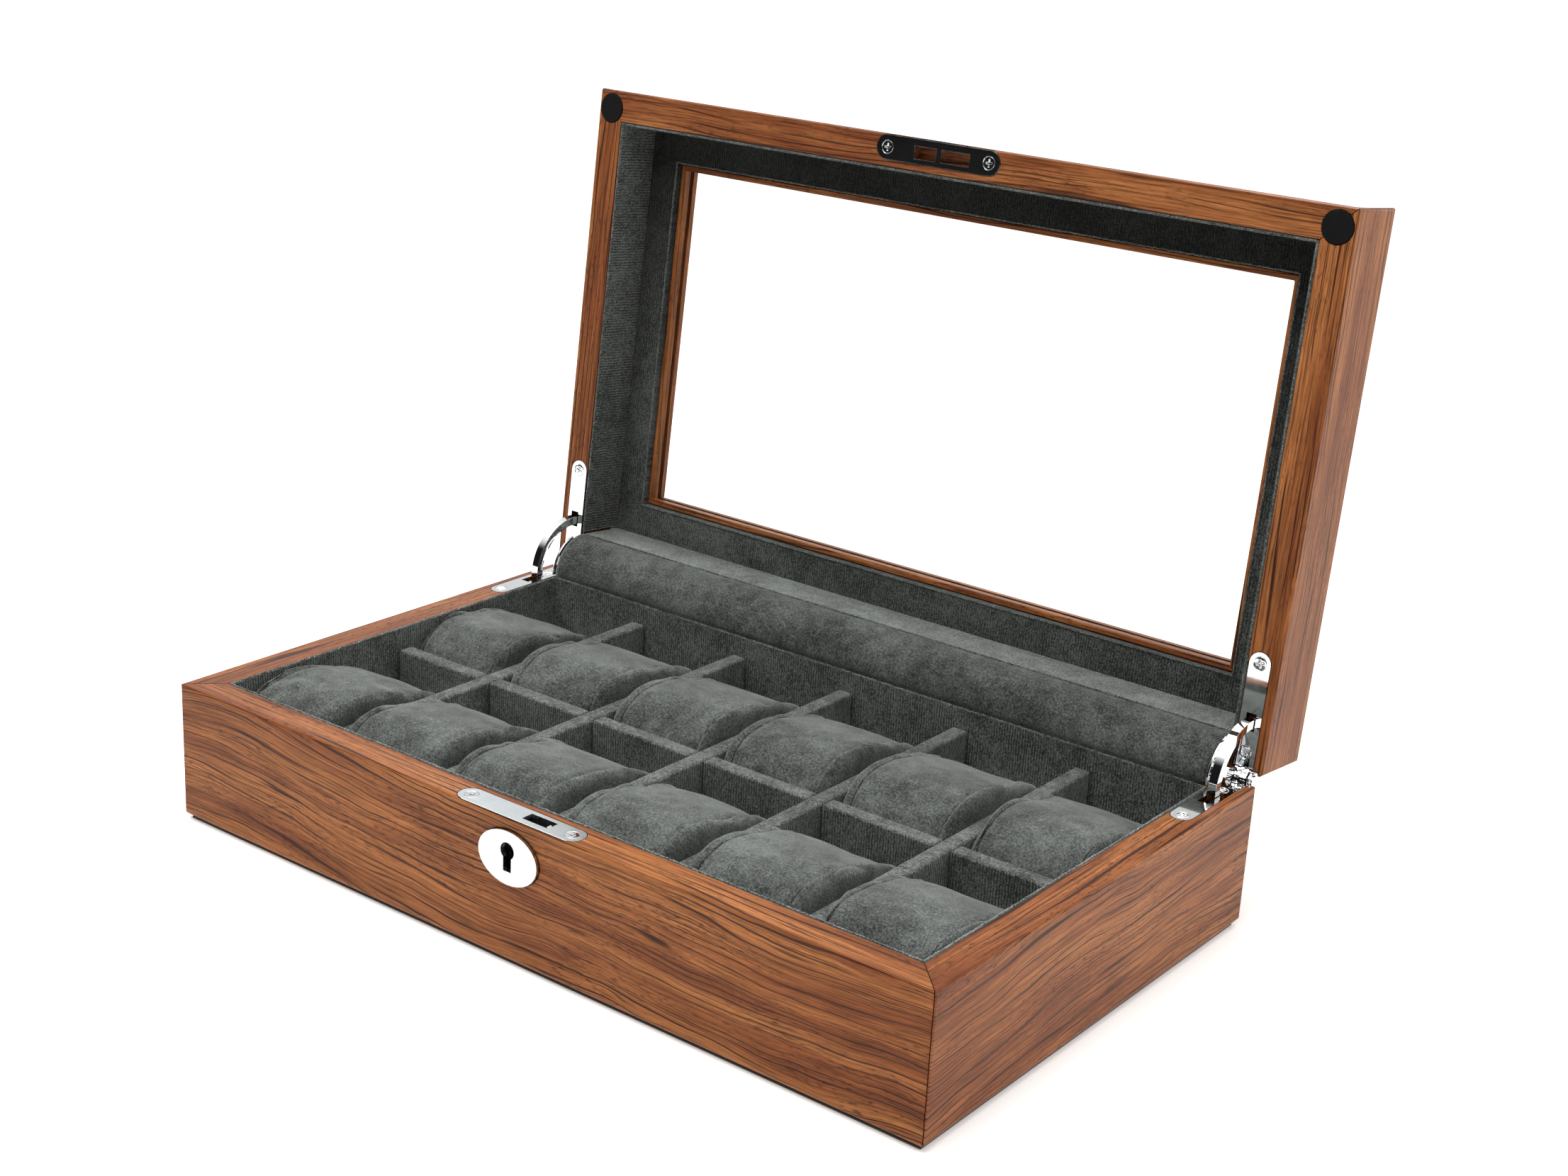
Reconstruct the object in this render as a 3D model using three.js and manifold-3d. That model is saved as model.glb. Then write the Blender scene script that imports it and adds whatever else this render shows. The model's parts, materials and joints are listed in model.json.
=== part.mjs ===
import * as THREE from "three";
import { mergeVertices } from "three/addons/utils/BufferGeometryUtils.js";
import Module from "manifold-3d";

// A watch box: a mitred wooden case, six compartments wide and two deep, each with a lift-out
// pillow, under a hinged lid that frames a pane of glass. A key turns a hook in the front wall.
// Millimetres, +Z up, +X to the right, the front is -Y. The origin is the middle of the underside,
// on the surface the box stands on. The box is shown with its lid open against the stop.

const wasm = await Module();
wasm.setup();

// Driving dimensions
const WIDTH = 330;
const DEPTH = 196;
const WALL = 12;
const RIM = 53; // height of the base's rim
const RIM_GAP = 0.6; // between the two rims when the lid is shut
const LID_HEIGHT = 32;
const OPEN_ANGLE = 96; // degrees
const FIT = 0.3; // gap between pieces that touch
const MITRE_GAP = 0.2; // each end of a mitred piece stops short by this
const CORNER_ROUND = 1.5;
const EDGE_ROUND = 1;

const HALF_WIDTH = WIDTH / 2;
const HALF_DEPTH = DEPTH / 2;
const LID_RIM = RIM + RIM_GAP; // lid pieces are drawn shut, in the same frame as the base
const LID_TOP = LID_RIM + LID_HEIGHT;
const HINGE_Y = HALF_DEPTH + 2;
const HINGE_Z = RIM + RIM_GAP / 2;

// Base
const FELT = 0.8;
const FOOT = FELT + FIT; // the walls and the bottom stand on the felt
const FOOT_ROUND = 3;
const PANEL = 4; // bottom panel
const PANEL_REBATE = 6; // how far the panel runs under the walls
const CLOTH = 1.1; // velvet on its backing card
const PANEL_TOP = FOOT + PANEL;
const FLOOR = PANEL_TOP + FIT + 1; // top of the floor lining
const LINING_X = HALF_WIDTH - WALL - FIT - CLOTH; // inner faces of the linings
const LINING_Y = HALF_DEPTH - WALL - FIT - CLOTH;
const STAND = FLOOR + FIT; // where dividers and pillows stand

// Dividers
const DIVIDER = 6.4;
const DIVIDER_TOP = 45.4;
const PITCH = 52.3;
const CROSS_Y = -2; // middle of the cross divider
const CROSS_HALF_LENGTH = 149.6;
const LAP = (STAND + DIVIDER_TOP) / 2;

// Pillows
const PILLOW_WIDTH = 42.6;
const PILLOW_EDGE = 2.4;
const PILLOW_TOP = 53.3;

// Lid
const FLANGE = 29.2; // width of the frame round the glass
const FLANGE_DEPTH = 6.7;
const LID_ROUND = 4.2;
const GLASS = 2;
const GLASS_REBATE = 26;
const GLASS_TOP = LID_TOP - 2.7;
const GLASS_BOTTOM = GLASS_TOP - GLASS;
const BEAD_HEIGHT = 3.7;
const BOARD_EDGE = 26.6; // the velvet board's opening, from the outer face
const BOARD = 4.1;
const BOARD_TOP = LID_TOP - FLANGE_DEPTH - FIT;
const BUMPER_RADIUS = 5.65;
const BUMPER = { x: 158.4, y: -90.7, proud: 0.35, deep: 1.6 };

// Velvet strip over the hinge gap, and the bright plates at its ends
const ROLL_RADIUS = 15.4;
const ROLL_CLOTH = 1.2;
const ROLL_TAB = 7.5; // how far its edges are tucked behind the linings
const TUCK = 1.6; // depth of the rebate that the edges are tucked into
const ROLL_HALF = 151.4;
const TAB_HALF = 148.5;
const END_PLATE = { inside: 152, thick: 0.8, radius: 15.8, cut: 96, front: 88, back: 94, foot: 46.5 };

// Side hinges, given for the right side
const LEAF = { inner: 153.5, outer: 161.5, thick: 1.8, tip: 54.7 };
const LEAF_X = (LEAF.inner + LEAF.outer) / 2;
const BARREL = 4;
const FLUTES = 12;
const FLUTE_DEPTH = 0.35;
const BARREL_ENDS = [154, 161];
const LID_KNUCKLE = [156.5, 158.5];
const PIN = 1.2;
const PIN_BORE = 1.45;
const BASE_SCREWS = [58.7, 86.6]; // y of the leaf's screw holes
const LID_SCREWS = [58.7, 90.6];
const SCREW_HEAD = 2.4;
const SCREW_SHANK = 1.1;
const SCREW_SLACK = 0.25;

// Stay arm: a bar bent round the hinge axis. It hangs from the lid leaf and slides through the
// base leaf into a pocket in the side wall.
const ARM = { inner: 156, outer: 159.2, near: 18.4, far: 21.6, low: -6 };
const ARM_PIVOT = { y: 80, z: LID_RIM + 2.6, axle: 1, eye: 2.1 };
const ARM_SLOT = [72.8, 82.3]; // y of the slot in the base leaf
const LUG = [154.4, 155.6, 159.6, 160.8]; // faces of the two lugs, in x
const LUG_BORE = 1.3;

// Lock
const LOCK = { x: 0, y: -93, z: 42 };
const HOOK_Y = -92.7;
const HOOK_THICK = 2;
const HOOK = { inner: 13.8, outer: 15.9, tip: 41.5, arm: [-14, -2], hub: 4.5 };
const CASE = { x: [-14, 17.4], y: [-96, -89.4], z: [30, 51.2], sheet: 0.8 };
const PLATE = { length: 54, width: 9, thick: 1.5, screws: 22.3 };
const HOOK_SLOT = { x: [2.3, 13.7], y: [-95.1, -90.3] };
const STRIKE_WINDOWS = [[-10.3, -0.6], [1.7, 14]];
const STRIKE_WINDOW_Y = [-95, -90.3];
const KEYHOLE = { radius: 3, slot: 1.75, foot: 34.7 };
const ESCUTCHEON = { x: 13, z: 9.5, middle: 39.5, thick: 1.8, proud: 1.3 };
const POST = 1.2;
const POST_BORE = 1.5;

const AXES = {
  x: new THREE.Vector3(1, 0, 0),
  y: new THREE.Vector3(0, 1, 0),
  z: new THREE.Vector3(0, 0, 1),
};

const material = (color, roughness, metalness = 0) =>
  new THREE.MeshStandardMaterial({ color, roughness, metalness });
const WOOD = () => material(0x5a2e1c, 0.35);
const INNER_WOOD = () => material(0x6b4a33, 0.6);
const VELVET = () => material(0x3a3d3a, 0.95);
const CHROME = () => material(0xc8cacc, 0.15, 1);
const RUBBER = () => material(0x151515, 0.6);

function solid(geometry) {
  const bare = geometry.index ? geometry.toNonIndexed() : geometry.clone();
  bare.deleteAttribute("normal");
  bare.deleteAttribute("uv");
  const merged = mergeVertices(bare, 1e-4);
  const mesh = new wasm.Mesh({
    numProp: 3,
    vertProperties: new Float32Array(merged.attributes.position.array),
    triVerts: new Uint32Array(merged.index.array),
  });
  return new wasm.Manifold(mesh);
}

function geometryOf(body) {
  const mesh = body.getMesh();
  const geometry = new THREE.BufferGeometry();
  geometry.setAttribute("position", new THREE.BufferAttribute(mesh.vertProperties, 3));
  geometry.setIndex(new THREE.BufferAttribute(mesh.triVerts, 1));
  const flat = geometry.toNonIndexed();
  flat.computeVertexNormals();
  return flat;
}

const without = (body, ...tools) => tools.reduce((left, tool) => left.subtract(tool), body);
const joined = (body, ...others) => others.reduce((all, other) => all.add(other), body);

// The two x values of a span on the right (side 1) or mirrored to the left (side -1)
const span = (side, a, b) => (side > 0 ? [a, b] : [-b, -a]);

function block([x0, x1], [y0, y1], [z0, z1]) {
  const geometry = new THREE.BoxGeometry(x1 - x0, y1 - y0, z1 - z0);
  return solid(geometry.translate((x0 + x1) / 2, (y0 + y1) / 2, (z0 + z1) / 2));
}

function extruded(shape, length, curveSegments) {
  return new THREE.ExtrudeGeometry(shape, { depth: length, bevelEnabled: false, curveSegments });
}

// An outline in (x, y), extruded from one z to another
function alongZ(shape, [from, to], segments = 6) {
  return solid(extruded(shape, to - from, segments).translate(0, 0, from));
}

// An outline in (y, z), extruded from one x to another
function alongX(shape, [from, to], segments = 6) {
  const turn = new THREE.Matrix4().makeBasis(AXES.y, AXES.z, AXES.x);
  return solid(extruded(shape, to - from, segments).translate(0, 0, from).applyMatrix4(turn));
}

// An outline in (x, z), extruded from one y to another
function alongY(shape, [from, to], segments = 6) {
  const turn = new THREE.Matrix4().makeBasis(AXES.x, AXES.z, AXES.y.clone().negate());
  return solid(extruded(shape, to - from, segments).translate(0, 0, -to).applyMatrix4(turn));
}

const outline = (points) => new THREE.Shape(points.map(([a, b]) => new THREE.Vector2(a, b)));

function circle(a, b, radius) {
  const shape = new THREE.Shape();
  shape.absarc(a, b, radius, 0, 2 * Math.PI, false);
  return shape;
}

function ellipse(a, b, halfA, halfB) {
  const shape = new THREE.Shape();
  shape.absellipse(a, b, halfA, halfB, 0, 2 * Math.PI, false, 0);
  return shape;
}

function roundedRectangle(halfA, halfB, radius) {
  const shape = new THREE.Shape();
  shape.absarc(halfA - radius, halfB - radius, radius, 0, Math.PI / 2, false);
  shape.absarc(radius - halfA, halfB - radius, radius, Math.PI / 2, Math.PI, false);
  shape.absarc(radius - halfA, radius - halfB, radius, Math.PI, 1.5 * Math.PI, false);
  shape.absarc(halfA - radius, radius - halfB, radius, 1.5 * Math.PI, 2 * Math.PI, false);
  return shape;
}

// A bar with full round ends, centred on (0, y)
function stadium(halfLength, halfWidth, y) {
  const shape = new THREE.Shape();
  shape.absarc(halfLength - halfWidth, y, halfWidth, -Math.PI / 2, Math.PI / 2, false);
  shape.absarc(halfWidth - halfLength, y, halfWidth, Math.PI / 2, 1.5 * Math.PI, false);
  return shape;
}

// Part of a ring about (0, 0), between two angles in degrees
function ringPart(inner, outer, from, to) {
  const shape = new THREE.Shape();
  const [start, end] = [THREE.MathUtils.degToRad(from), THREE.MathUtils.degToRad(to)];
  shape.absarc(0, 0, outer, start, end, false);
  shape.absarc(0, 0, inner, end, start, true);
  return shape;
}

// A rectangular ring lying flat, given by its outer half sizes and its width
function flatRing(halfX, halfY, width, [z0, z1]) {
  const outer = block([-halfX, halfX], [-halfY, halfY], [z0, z1]);
  const insideX = halfX - width;
  const insideY = halfY - width;
  return without(outer, block([-insideX, insideX], [-insideY, insideY], [z0 - 1, z1 + 1]));
}

// A point in (y, z) turned about the hinge axis as the lid opens by an angle in degrees
function opened([y, z], angle) {
  const turn = THREE.MathUtils.degToRad(-angle);
  const [dy, dz] = [y - HINGE_Y, z - HINGE_Z];
  return [
    HINGE_Y + dy * Math.cos(turn) - dz * Math.sin(turn),
    HINGE_Z + dy * Math.sin(turn) + dz * Math.cos(turn),
  ];
}

// A point in (y, z) at a radius from the hinge axis; 0 degrees is towards the front, 90 is up
function roundHinge(radius, degrees) {
  const angle = THREE.MathUtils.degToRad(degrees);
  return [HINGE_Y - radius * Math.cos(angle), HINGE_Z + radius * Math.sin(angle)];
}

function hingeArc(radius, from, to, steps) {
  const at = (i) => roundHinge(radius, from + ((to - from) * i) / steps);
  return Array.from({ length: steps + 1 }, (_, i) => at(i));
}

// One side of a mitred frame. The section is drawn in (u, z), with u measured inwards from the
// outer face, and `turns` quarter turns take the front side round to the right, back and left.
function frameSide(section, turns, reach) {
  const across = turns % 2 === 1;
  const halfLength = across ? HALF_DEPTH : HALF_WIDTH;
  const halfDepth = across ? HALF_WIDTH : HALF_DEPTH;
  const bar = extruded(section, 2 * halfLength, 5).translate(-halfDepth, 0, -halfLength);
  bar.applyMatrix4(new THREE.Matrix4().makeBasis(AXES.y, AXES.z, AXES.x));
  const end = halfLength - MITRE_GAP;
  const plan = outline([
    [-end, -halfDepth],
    [end, -halfDepth],
    [end - reach, reach - halfDepth],
    [reach - end, reach - halfDepth],
  ]);
  const wedge = extruded(plan, 2 * LID_TOP, 1);
  const round = extruded(roundedRectangle(halfLength, halfDepth, CORNER_ROUND), 2 * LID_TOP, 4);
  const turn = (turns * Math.PI) / 2;
  const turned = [bar, wedge, round].map((geometry) => solid(geometry.rotateZ(turn)));
  return turned[0].intersect(turned[1]).intersect(turned[2]);
}

function baseSection() {
  const shape = new THREE.Shape();
  shape.moveTo(PANEL_REBATE, FOOT);
  shape.lineTo(PANEL_REBATE, PANEL_TOP + FIT);
  shape.lineTo(WALL, PANEL_TOP + FIT);
  shape.lineTo(WALL, RIM);
  shape.absarc(EDGE_ROUND, RIM - EDGE_ROUND, EDGE_ROUND, Math.PI / 2, Math.PI, false);
  shape.absarc(FOOT_ROUND, FOOT + FOOT_ROUND, FOOT_ROUND, Math.PI, 1.5 * Math.PI, false);
  return shape;
}

function lidSection() {
  const shape = new THREE.Shape();
  shape.moveTo(WALL, LID_RIM);
  shape.lineTo(WALL, LID_TOP - FLANGE_DEPTH);
  shape.lineTo(GLASS_REBATE, LID_TOP - FLANGE_DEPTH);
  shape.lineTo(GLASS_REBATE, GLASS_TOP + FIT);
  shape.lineTo(FLANGE, GLASS_TOP + FIT);
  shape.lineTo(FLANGE, LID_TOP);
  shape.absarc(LID_ROUND, LID_TOP - LID_ROUND, LID_ROUND, Math.PI / 2, Math.PI, false);
  shape.absarc(EDGE_ROUND, LID_RIM + EDGE_ROUND, EDGE_ROUND, Math.PI, 1.5 * Math.PI, false);
  return shape;
}

// A countersunk screw, or with slack the space it needs, pointing down (-1) or up (1) from the
// face of its head
function screwShape(x, y, face, direction, length, slack) {
  const rim = 0.15;
  const cone = rim + SCREW_HEAD - SCREW_SHANK;
  const profile = [
    [0, length + slack],
    [SCREW_SHANK + slack, length],
    [SCREW_SHANK + slack, cone],
    [SCREW_HEAD + slack, rim],
    [SCREW_HEAD + slack, slack > 0 ? -1 : 0],
    [0, slack > 0 ? -1 : 0],
  ].map(([radius, along]) => new THREE.Vector2(radius, -along));
  const lathe = new THREE.LatheGeometry(profile, 12).rotateX((-direction * Math.PI) / 2);
  return solid(lathe.translate(x, y, face));
}

// The cross-shaped recess in the head of a screw
function crossRecess(x, y, face, down) {
  const depth = down < 0 ? [face - 0.8, face + 1] : [face - 1, face + 0.8];
  const arm = 1.4;
  const half = 0.3;
  return block([x - arm, x + arm], [y - half, y + half], depth).add(
    block([x - half, x + half], [y - arm, y + arm], depth),
  );
}

// The notch round a hinge barrel, the bed of a leaf and the pocket of a stay arm
function barrelNotch(side) {
  const ends = span(side, BARREL_ENDS[0] - 0.4, BARREL_ENDS[1] + 2.4);
  return alongX(circle(HINGE_Y, HINGE_Z, BARREL + 0.4), ends, 12);
}

function leafBed(side, [z0, z1]) {
  const halfWidth = (LEAF.outer - LEAF.inner) / 2 + FIT;
  const middle = side * LEAF_X;
  const tip = LEAF.tip - FIT + halfWidth;
  const bed = block([middle - halfWidth, middle + halfWidth], [tip, HALF_DEPTH + 1], [z0, z1]);
  const roundTip = alongZ(circle(middle, tip, halfWidth), [z0, z1], 8);
  const insideLip = block(span(side, HALF_WIDTH - WALL - 1, LEAF_X), [tip, HALF_DEPTH - WALL - 1], [z0, z1]);
  return joined(bed, roundTip, insideLip);
}

function armPocket(side) {
  const shape = outline([
    [ARM_SLOT[0], RIM],
    [ARM_SLOT[1], RIM],
    [ARM_SLOT[1], 37],
    [92, 28],
    [92, 21.5],
    [84.5, 21.5],
    [ARM_SLOT[0], 37],
  ]);
  return alongX(shape, span(side, ARM.inner - FIT, ARM.outer + FIT));
}

// Part of a disc about the hinge axis, cut off short of the back rail's outer face, with a tail
// that stands in the back wall
function endPlateShape() {
  const { radius, cut, front, back, foot } = END_PLATE;
  const top = THREE.MathUtils.radToDeg(Math.acos((HINGE_Y - cut) / radius));
  const lower = HINGE_Z + 0.8;
  return outline([[front, lower], ...hingeArc(radius, 3, top, 10), [cut, lower], [back, lower],
    [back, foot], [front, foot]]);
}

function endPlateSlot(side) {
  const { inside, thick } = END_PLATE;
  return span(side, inside - FIT, inside + thick + FIT);
}

// What the plates pass through in the lid as it turns
function endPlateSweep() {
  const reach = END_PLATE.radius + FIT;
  const back = END_PLATE.cut + FIT;
  const top = THREE.MathUtils.radToDeg(Math.acos((HINGE_Y - back) / reach));
  return outline([...hingeArc(reach, -2, top, 10), [back, RIM - 1]]);
}

function addTo(group, name, body, look) {
  const mesh = new THREE.Mesh(geometryOf(body), look);
  mesh.name = name;
  group.add(mesh);
  return mesh;
}

function keyhole([y0, y1], slack = 0) {
  const { radius, slot, foot } = KEYHOLE;
  const round = alongY(circle(LOCK.x, LOCK.z, radius + slack), [y0, y1], 10);
  const slit = [LOCK.x - slot - slack, LOCK.x + slot + slack];
  return round.add(block(slit, [y0, y1], [foot - slack, LOCK.z]));
}

// Base case

function baseWalls(group) {
  const names = ["base_front_wall", "base_right_wall", "base_back_wall", "base_left_wall"];
  const escutcheonBed = HALF_DEPTH - (ESCUTCHEON.thick - ESCUTCHEON.proud) - FIT;
  const screwHoles = [-1, 1].map((side) =>
    screwShape(side * PLATE.screws, LOCK.y, RIM, -1, 11, SCREW_SLACK));
  const lockCuts = [
    alongZ(stadium(PLATE.length / 2 + FIT, PLATE.width / 2 + FIT, LOCK.y), [RIM - PLATE.thick - FIT, RIM + 1]),
    block([CASE.x[0] - FIT, CASE.x[1] + FIT], [CASE.y[0] - FIT, CASE.y[1] + FIT], [CASE.z[0] - FIT, RIM]),
    alongY(
      ellipse(LOCK.x, ESCUTCHEON.middle, ESCUTCHEON.x + FIT, ESCUTCHEON.z + FIT),
      [-HALF_DEPTH - 1, -escutcheonBed],
      16,
    ),
    keyhole([-HALF_DEPTH - 1, CASE.y[0]]),
    ...screwHoles,
  ];
  const sideCuts = [-1, 1].flatMap((side) => [
    barrelNotch(side),
    leafBed(side, [RIM - LEAF.thick - FIT, RIM + 1]),
    armPocket(side),
  ]);
  const tuck = block(
    [-TAB_HALF - FIT, TAB_HALF + FIT],
    [HALF_DEPTH - WALL - 1, HALF_DEPTH - WALL + TUCK],
    [RIM - ROLL_TAB - FIT, RIM + 1],
  );
  const plateSlots = [-1, 1].map((side) =>
    block(endPlateSlot(side), [END_PLATE.front - FIT, END_PLATE.back + FIT], [END_PLATE.foot - FIT, RIM + 1]));
  const cuts = [lockCuts, sideCuts, [...sideCuts, tuck, ...plateSlots], sideCuts];
  names.forEach((name, turns) => {
    const wall = frameSide(baseSection(), turns, WALL);
    addTo(group, name, without(wall, ...cuts[turns]), WOOD());
  });
}

function baseBottom(group) {
  const felt = [HALF_WIDTH - 2, HALF_DEPTH - 2];
  const panel = [HALF_WIDTH - PANEL_REBATE - FIT, HALF_DEPTH - PANEL_REBATE - FIT];
  const lining = [LINING_X + CLOTH, LINING_Y + CLOTH];
  const plate = ([x, y], heights) => block([-x, x], [-y, y], heights);
  addTo(group, "underside_felt", plate(felt, [0, FELT]), VELVET());
  addTo(group, "bottom_panel", plate(panel, [FOOT, PANEL_TOP]), INNER_WOOD());
  addTo(group, "floor_lining", plate(lining, [PANEL_TOP + FIT, FLOOR]), VELVET());
  const ring = flatRing(...lining, CLOTH, [STAND, RIM - 0.2]);
  addTo(group, "base_wall_lining", ring, VELVET());
}

function dividers(group) {
  const half = DIVIDER / 2;
  const notchHalf = half + FIT;
  const cross = block(
    [-CROSS_HALF_LENGTH, CROSS_HALF_LENGTH],
    [CROSS_Y - half, CROSS_Y + half],
    [STAND, DIVIDER_TOP],
  );
  const places = [-2, -1, 0, 1, 2].map((k) => k * PITCH);
  const notches = places.map((x) =>
    block([x - notchHalf, x + notchHalf], [CROSS_Y - half - 1, CROSS_Y + half + 1], [LAP - FIT / 2, RIM]));
  addTo(group, "cross_divider", without(cross, ...notches), VELVET());
  places.forEach((x, i) => {
    const board = block([x - half, x + half], [FIT - LINING_Y, LINING_Y - FIT], [STAND, DIVIDER_TOP]);
    const lap = block([x - half - 1, x + half + 1], [CROSS_Y - notchHalf, CROSS_Y + notchHalf],
      [0, LAP + FIT / 2]);
    addTo(group, `long_divider_${i + 1}`, without(board, lap), VELVET());
  });
}

// A pillow's side view: a steep rounded front, its highest point a third of the way back, and a
// long fall to a full round back. The first coordinate runs back from the compartment's front.
function pillowShape() {
  const shape = new THREE.Shape();
  const top = PILLOW_TOP;
  const points = [
    [1, 16], [1.6, 35], [5, top - 8.3], [12, top - 2.3], [23, top], [38, top - 2.3],
    [50, top - 5.6], [61, top - 10.3], [68.5, 34], [70.5, 23], [67.5, 11.5],
  ];
  shape.moveTo(60, STAND);
  shape.lineTo(9, STAND);
  shape.splineThru([[3, 9], ...points].map(([a, b]) => new THREE.Vector2(a, b)));
  shape.lineTo(60, STAND);
  return shape;
}

function pillows(group) {
  const geometry = new THREE.ExtrudeGeometry(pillowShape(), {
    depth: PILLOW_WIDTH - 2 * PILLOW_EDGE,
    curveSegments: 1,
    bevelThickness: PILLOW_EDGE,
    bevelSize: PILLOW_EDGE,
    bevelOffset: -PILLOW_EDGE,
    bevelSegments: 1,
  });
  geometry.applyMatrix4(new THREE.Matrix4().makeBasis(AXES.y, AXES.z, AXES.x));
  const outerCell = (2 * PITCH + DIVIDER / 2 + LINING_X) / 2;
  const columns = [-outerCell, ...[-1.5, -0.5, 0.5, 1.5].map((k) => k * PITCH), outerCell];
  const rows = [["front", -LINING_Y], ["back", CROSS_Y + DIVIDER / 2]];
  for (const [row, start] of rows)
    columns.forEach((x, i) => {
      const width = PILLOW_WIDTH - 2 * PILLOW_EDGE;
      const body = solid(geometry.clone().translate(x - width / 2, start, 0));
      addTo(group, `${row}_pillow_${i + 1}`, body, VELVET());
    });
}

// Velvet strip that bridges the hinge gap: an arc about the hinge axis, with each edge turned
// over the rim of a lining and tucked behind it.
function hingeCover(group) {
  const inner = ROLL_RADIUS - ROLL_CLOTH;
  const behind = HALF_DEPTH - WALL + FIT / 2; // front face of the tucked edge
  const edge = [
    [behind, RIM + FIT],
    [behind, RIM - ROLL_TAB],
    [behind + ROLL_CLOTH, RIM - ROLL_TAB],
    [behind + ROLL_CLOTH, RIM + FIT + 0.3],
  ];
  const atLid = edge.map(([y, z]) => opened([y, 2 * HINGE_Z - z], OPEN_ANGLE));
  const start = 4;
  const stop = OPEN_ANGLE - start;
  const section = outline([
    ...edge,
    ...hingeArc(inner, start, stop, 12),
    atLid[3],
    atLid[2],
    atLid[1],
    atLid[0],
    ...hingeArc(ROLL_RADIUS, stop, start, 12),
  ]);
  const arcOnly = outline([
    ...hingeArc(inner - 0.1, start, stop, 12),
    ...hingeArc(ROLL_RADIUS + 0.1, stop, start, 12),
  ]);
  const middle = alongX(section, [-TAB_HALF, TAB_HALF]);
  const ends = alongX(section, [-ROLL_HALF, ROLL_HALF]).intersect(alongX(arcOnly, [-ROLL_HALF, ROLL_HALF]));
  addTo(group, "hinge_cover", middle.add(ends), VELVET());
}

function endPlates(group) {
  for (const side of [-1, 1]) {
    const { inside, thick } = END_PLATE;
    const plate = alongX(endPlateShape(), span(side, inside, inside + thick));
    addTo(group, side < 0 ? "left_end_plate" : "right_end_plate", plate, CHROME());
  }
}

// Lock, in the front wall

function lockParts(group) {
  const { length, width, thick, screws } = PLATE;
  const facePlate = alongZ(stadium(length / 2, width / 2, LOCK.y), [RIM - thick, RIM], 8);
  const slot = block(HOOK_SLOT.x, HOOK_SLOT.y, [RIM - 2 * thick, RIM + 1]);
  const seats = [-1, 1].map((side) => screwShape(side * screws, LOCK.y, RIM, -1, 8, SCREW_SLACK));
  addTo(group, "lock_face_plate", without(facePlate, slot, ...seats), CHROME());
  for (const side of [-1, 1]) {
    const screw = screwShape(side * screws, LOCK.y, RIM - 0.1, -1, 9, 0);
    const body = screw.subtract(crossRecess(side * screws, LOCK.y, RIM - 0.1, -1));
    addTo(group, side < 0 ? "lock_plate_screw_left" : "lock_plate_screw_right", body, CHROME());
  }
  lockCase(group);
  lockHook(group);
  const post = alongY(circle(LOCK.x, LOCK.z, POST), [CASE.y[0] + 0.2, CASE.y[1] - CASE.sheet - FIT], 8);
  addTo(group, "key_post", post, CHROME());
  const { x, z, middle, proud } = ESCUTCHEON;
  const front = -HALF_DEPTH - proud;
  const oval = alongY(ellipse(LOCK.x, middle, x, z), [front, front + ESCUTCHEON.thick], 16);
  addTo(group, "keyhole_escutcheon", oval.subtract(keyhole([front - 1, 0])), CHROME());
}

function lockCase(group) {
  const { x, y, z, sheet } = CASE;
  const shrink = ([a, b]) => [a + sheet, b - sheet];
  const shell = block(x, y, z).subtract(block(shrink(x), shrink(y), shrink(z)));
  const mouth = block([HOOK_SLOT.x[0] - 0.5, HOOK_SLOT.x[1] + 0.7], shrink(y), [z[1] - 2, z[1] + 1]);
  addTo(group, "lock_case", without(shell, mouth, keyhole([y[0] - 1, y[0] + 2])), CHROME());
}

function lockHook(group) {
  const { inner, outer, tip, arm, hub } = HOOK;
  const thickness = [HOOK_Y - HOOK_THICK / 2, HOOK_Y + HOOK_THICK / 2];
  const flat = (shape, segments) => alongY(shape, thickness, segments);
  const drawn = joined(
    flat(ringPart(inner, outer, arm[0], tip), 8),
    flat(ringPart(hub - 2, outer, ...arm), 4),
    flat(circle(0, 0, hub), 10),
  );
  const bore = alongY(circle(0, 0, POST_BORE), [HOOK_Y - 5, HOOK_Y + 5], 8);
  const keyway = block([-0.8, 0.8], [HOOK_Y - 5, HOOK_Y + 5], [-hub + 1.2, 0]);
  const mesh = addTo(group, "lock_hook", without(drawn, bore, keyway), CHROME());
  mesh.position.set(LOCK.x, 0, LOCK.z);
}

// Side hinges

function screwSeats(side, places, face, down) {
  return places.map((y) => screwShape(side * LEAF_X, y, face, down, 8, SCREW_SLACK));
}

function leafBlank(side, heights) {
  const halfWidth = (LEAF.outer - LEAF.inner) / 2;
  const middle = side * LEAF_X;
  const tip = LEAF.tip + halfWidth;
  const bar = block([middle - halfWidth, middle + halfWidth], [tip, HINGE_Y], heights);
  return bar.add(alongZ(circle(middle, tip, halfWidth), heights, 8));
}

const hingeRod = (side, radius, a, b, segments = 10) =>
  alongX(circle(HINGE_Y, HINGE_Z, radius), span(side, a, b), segments);

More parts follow.
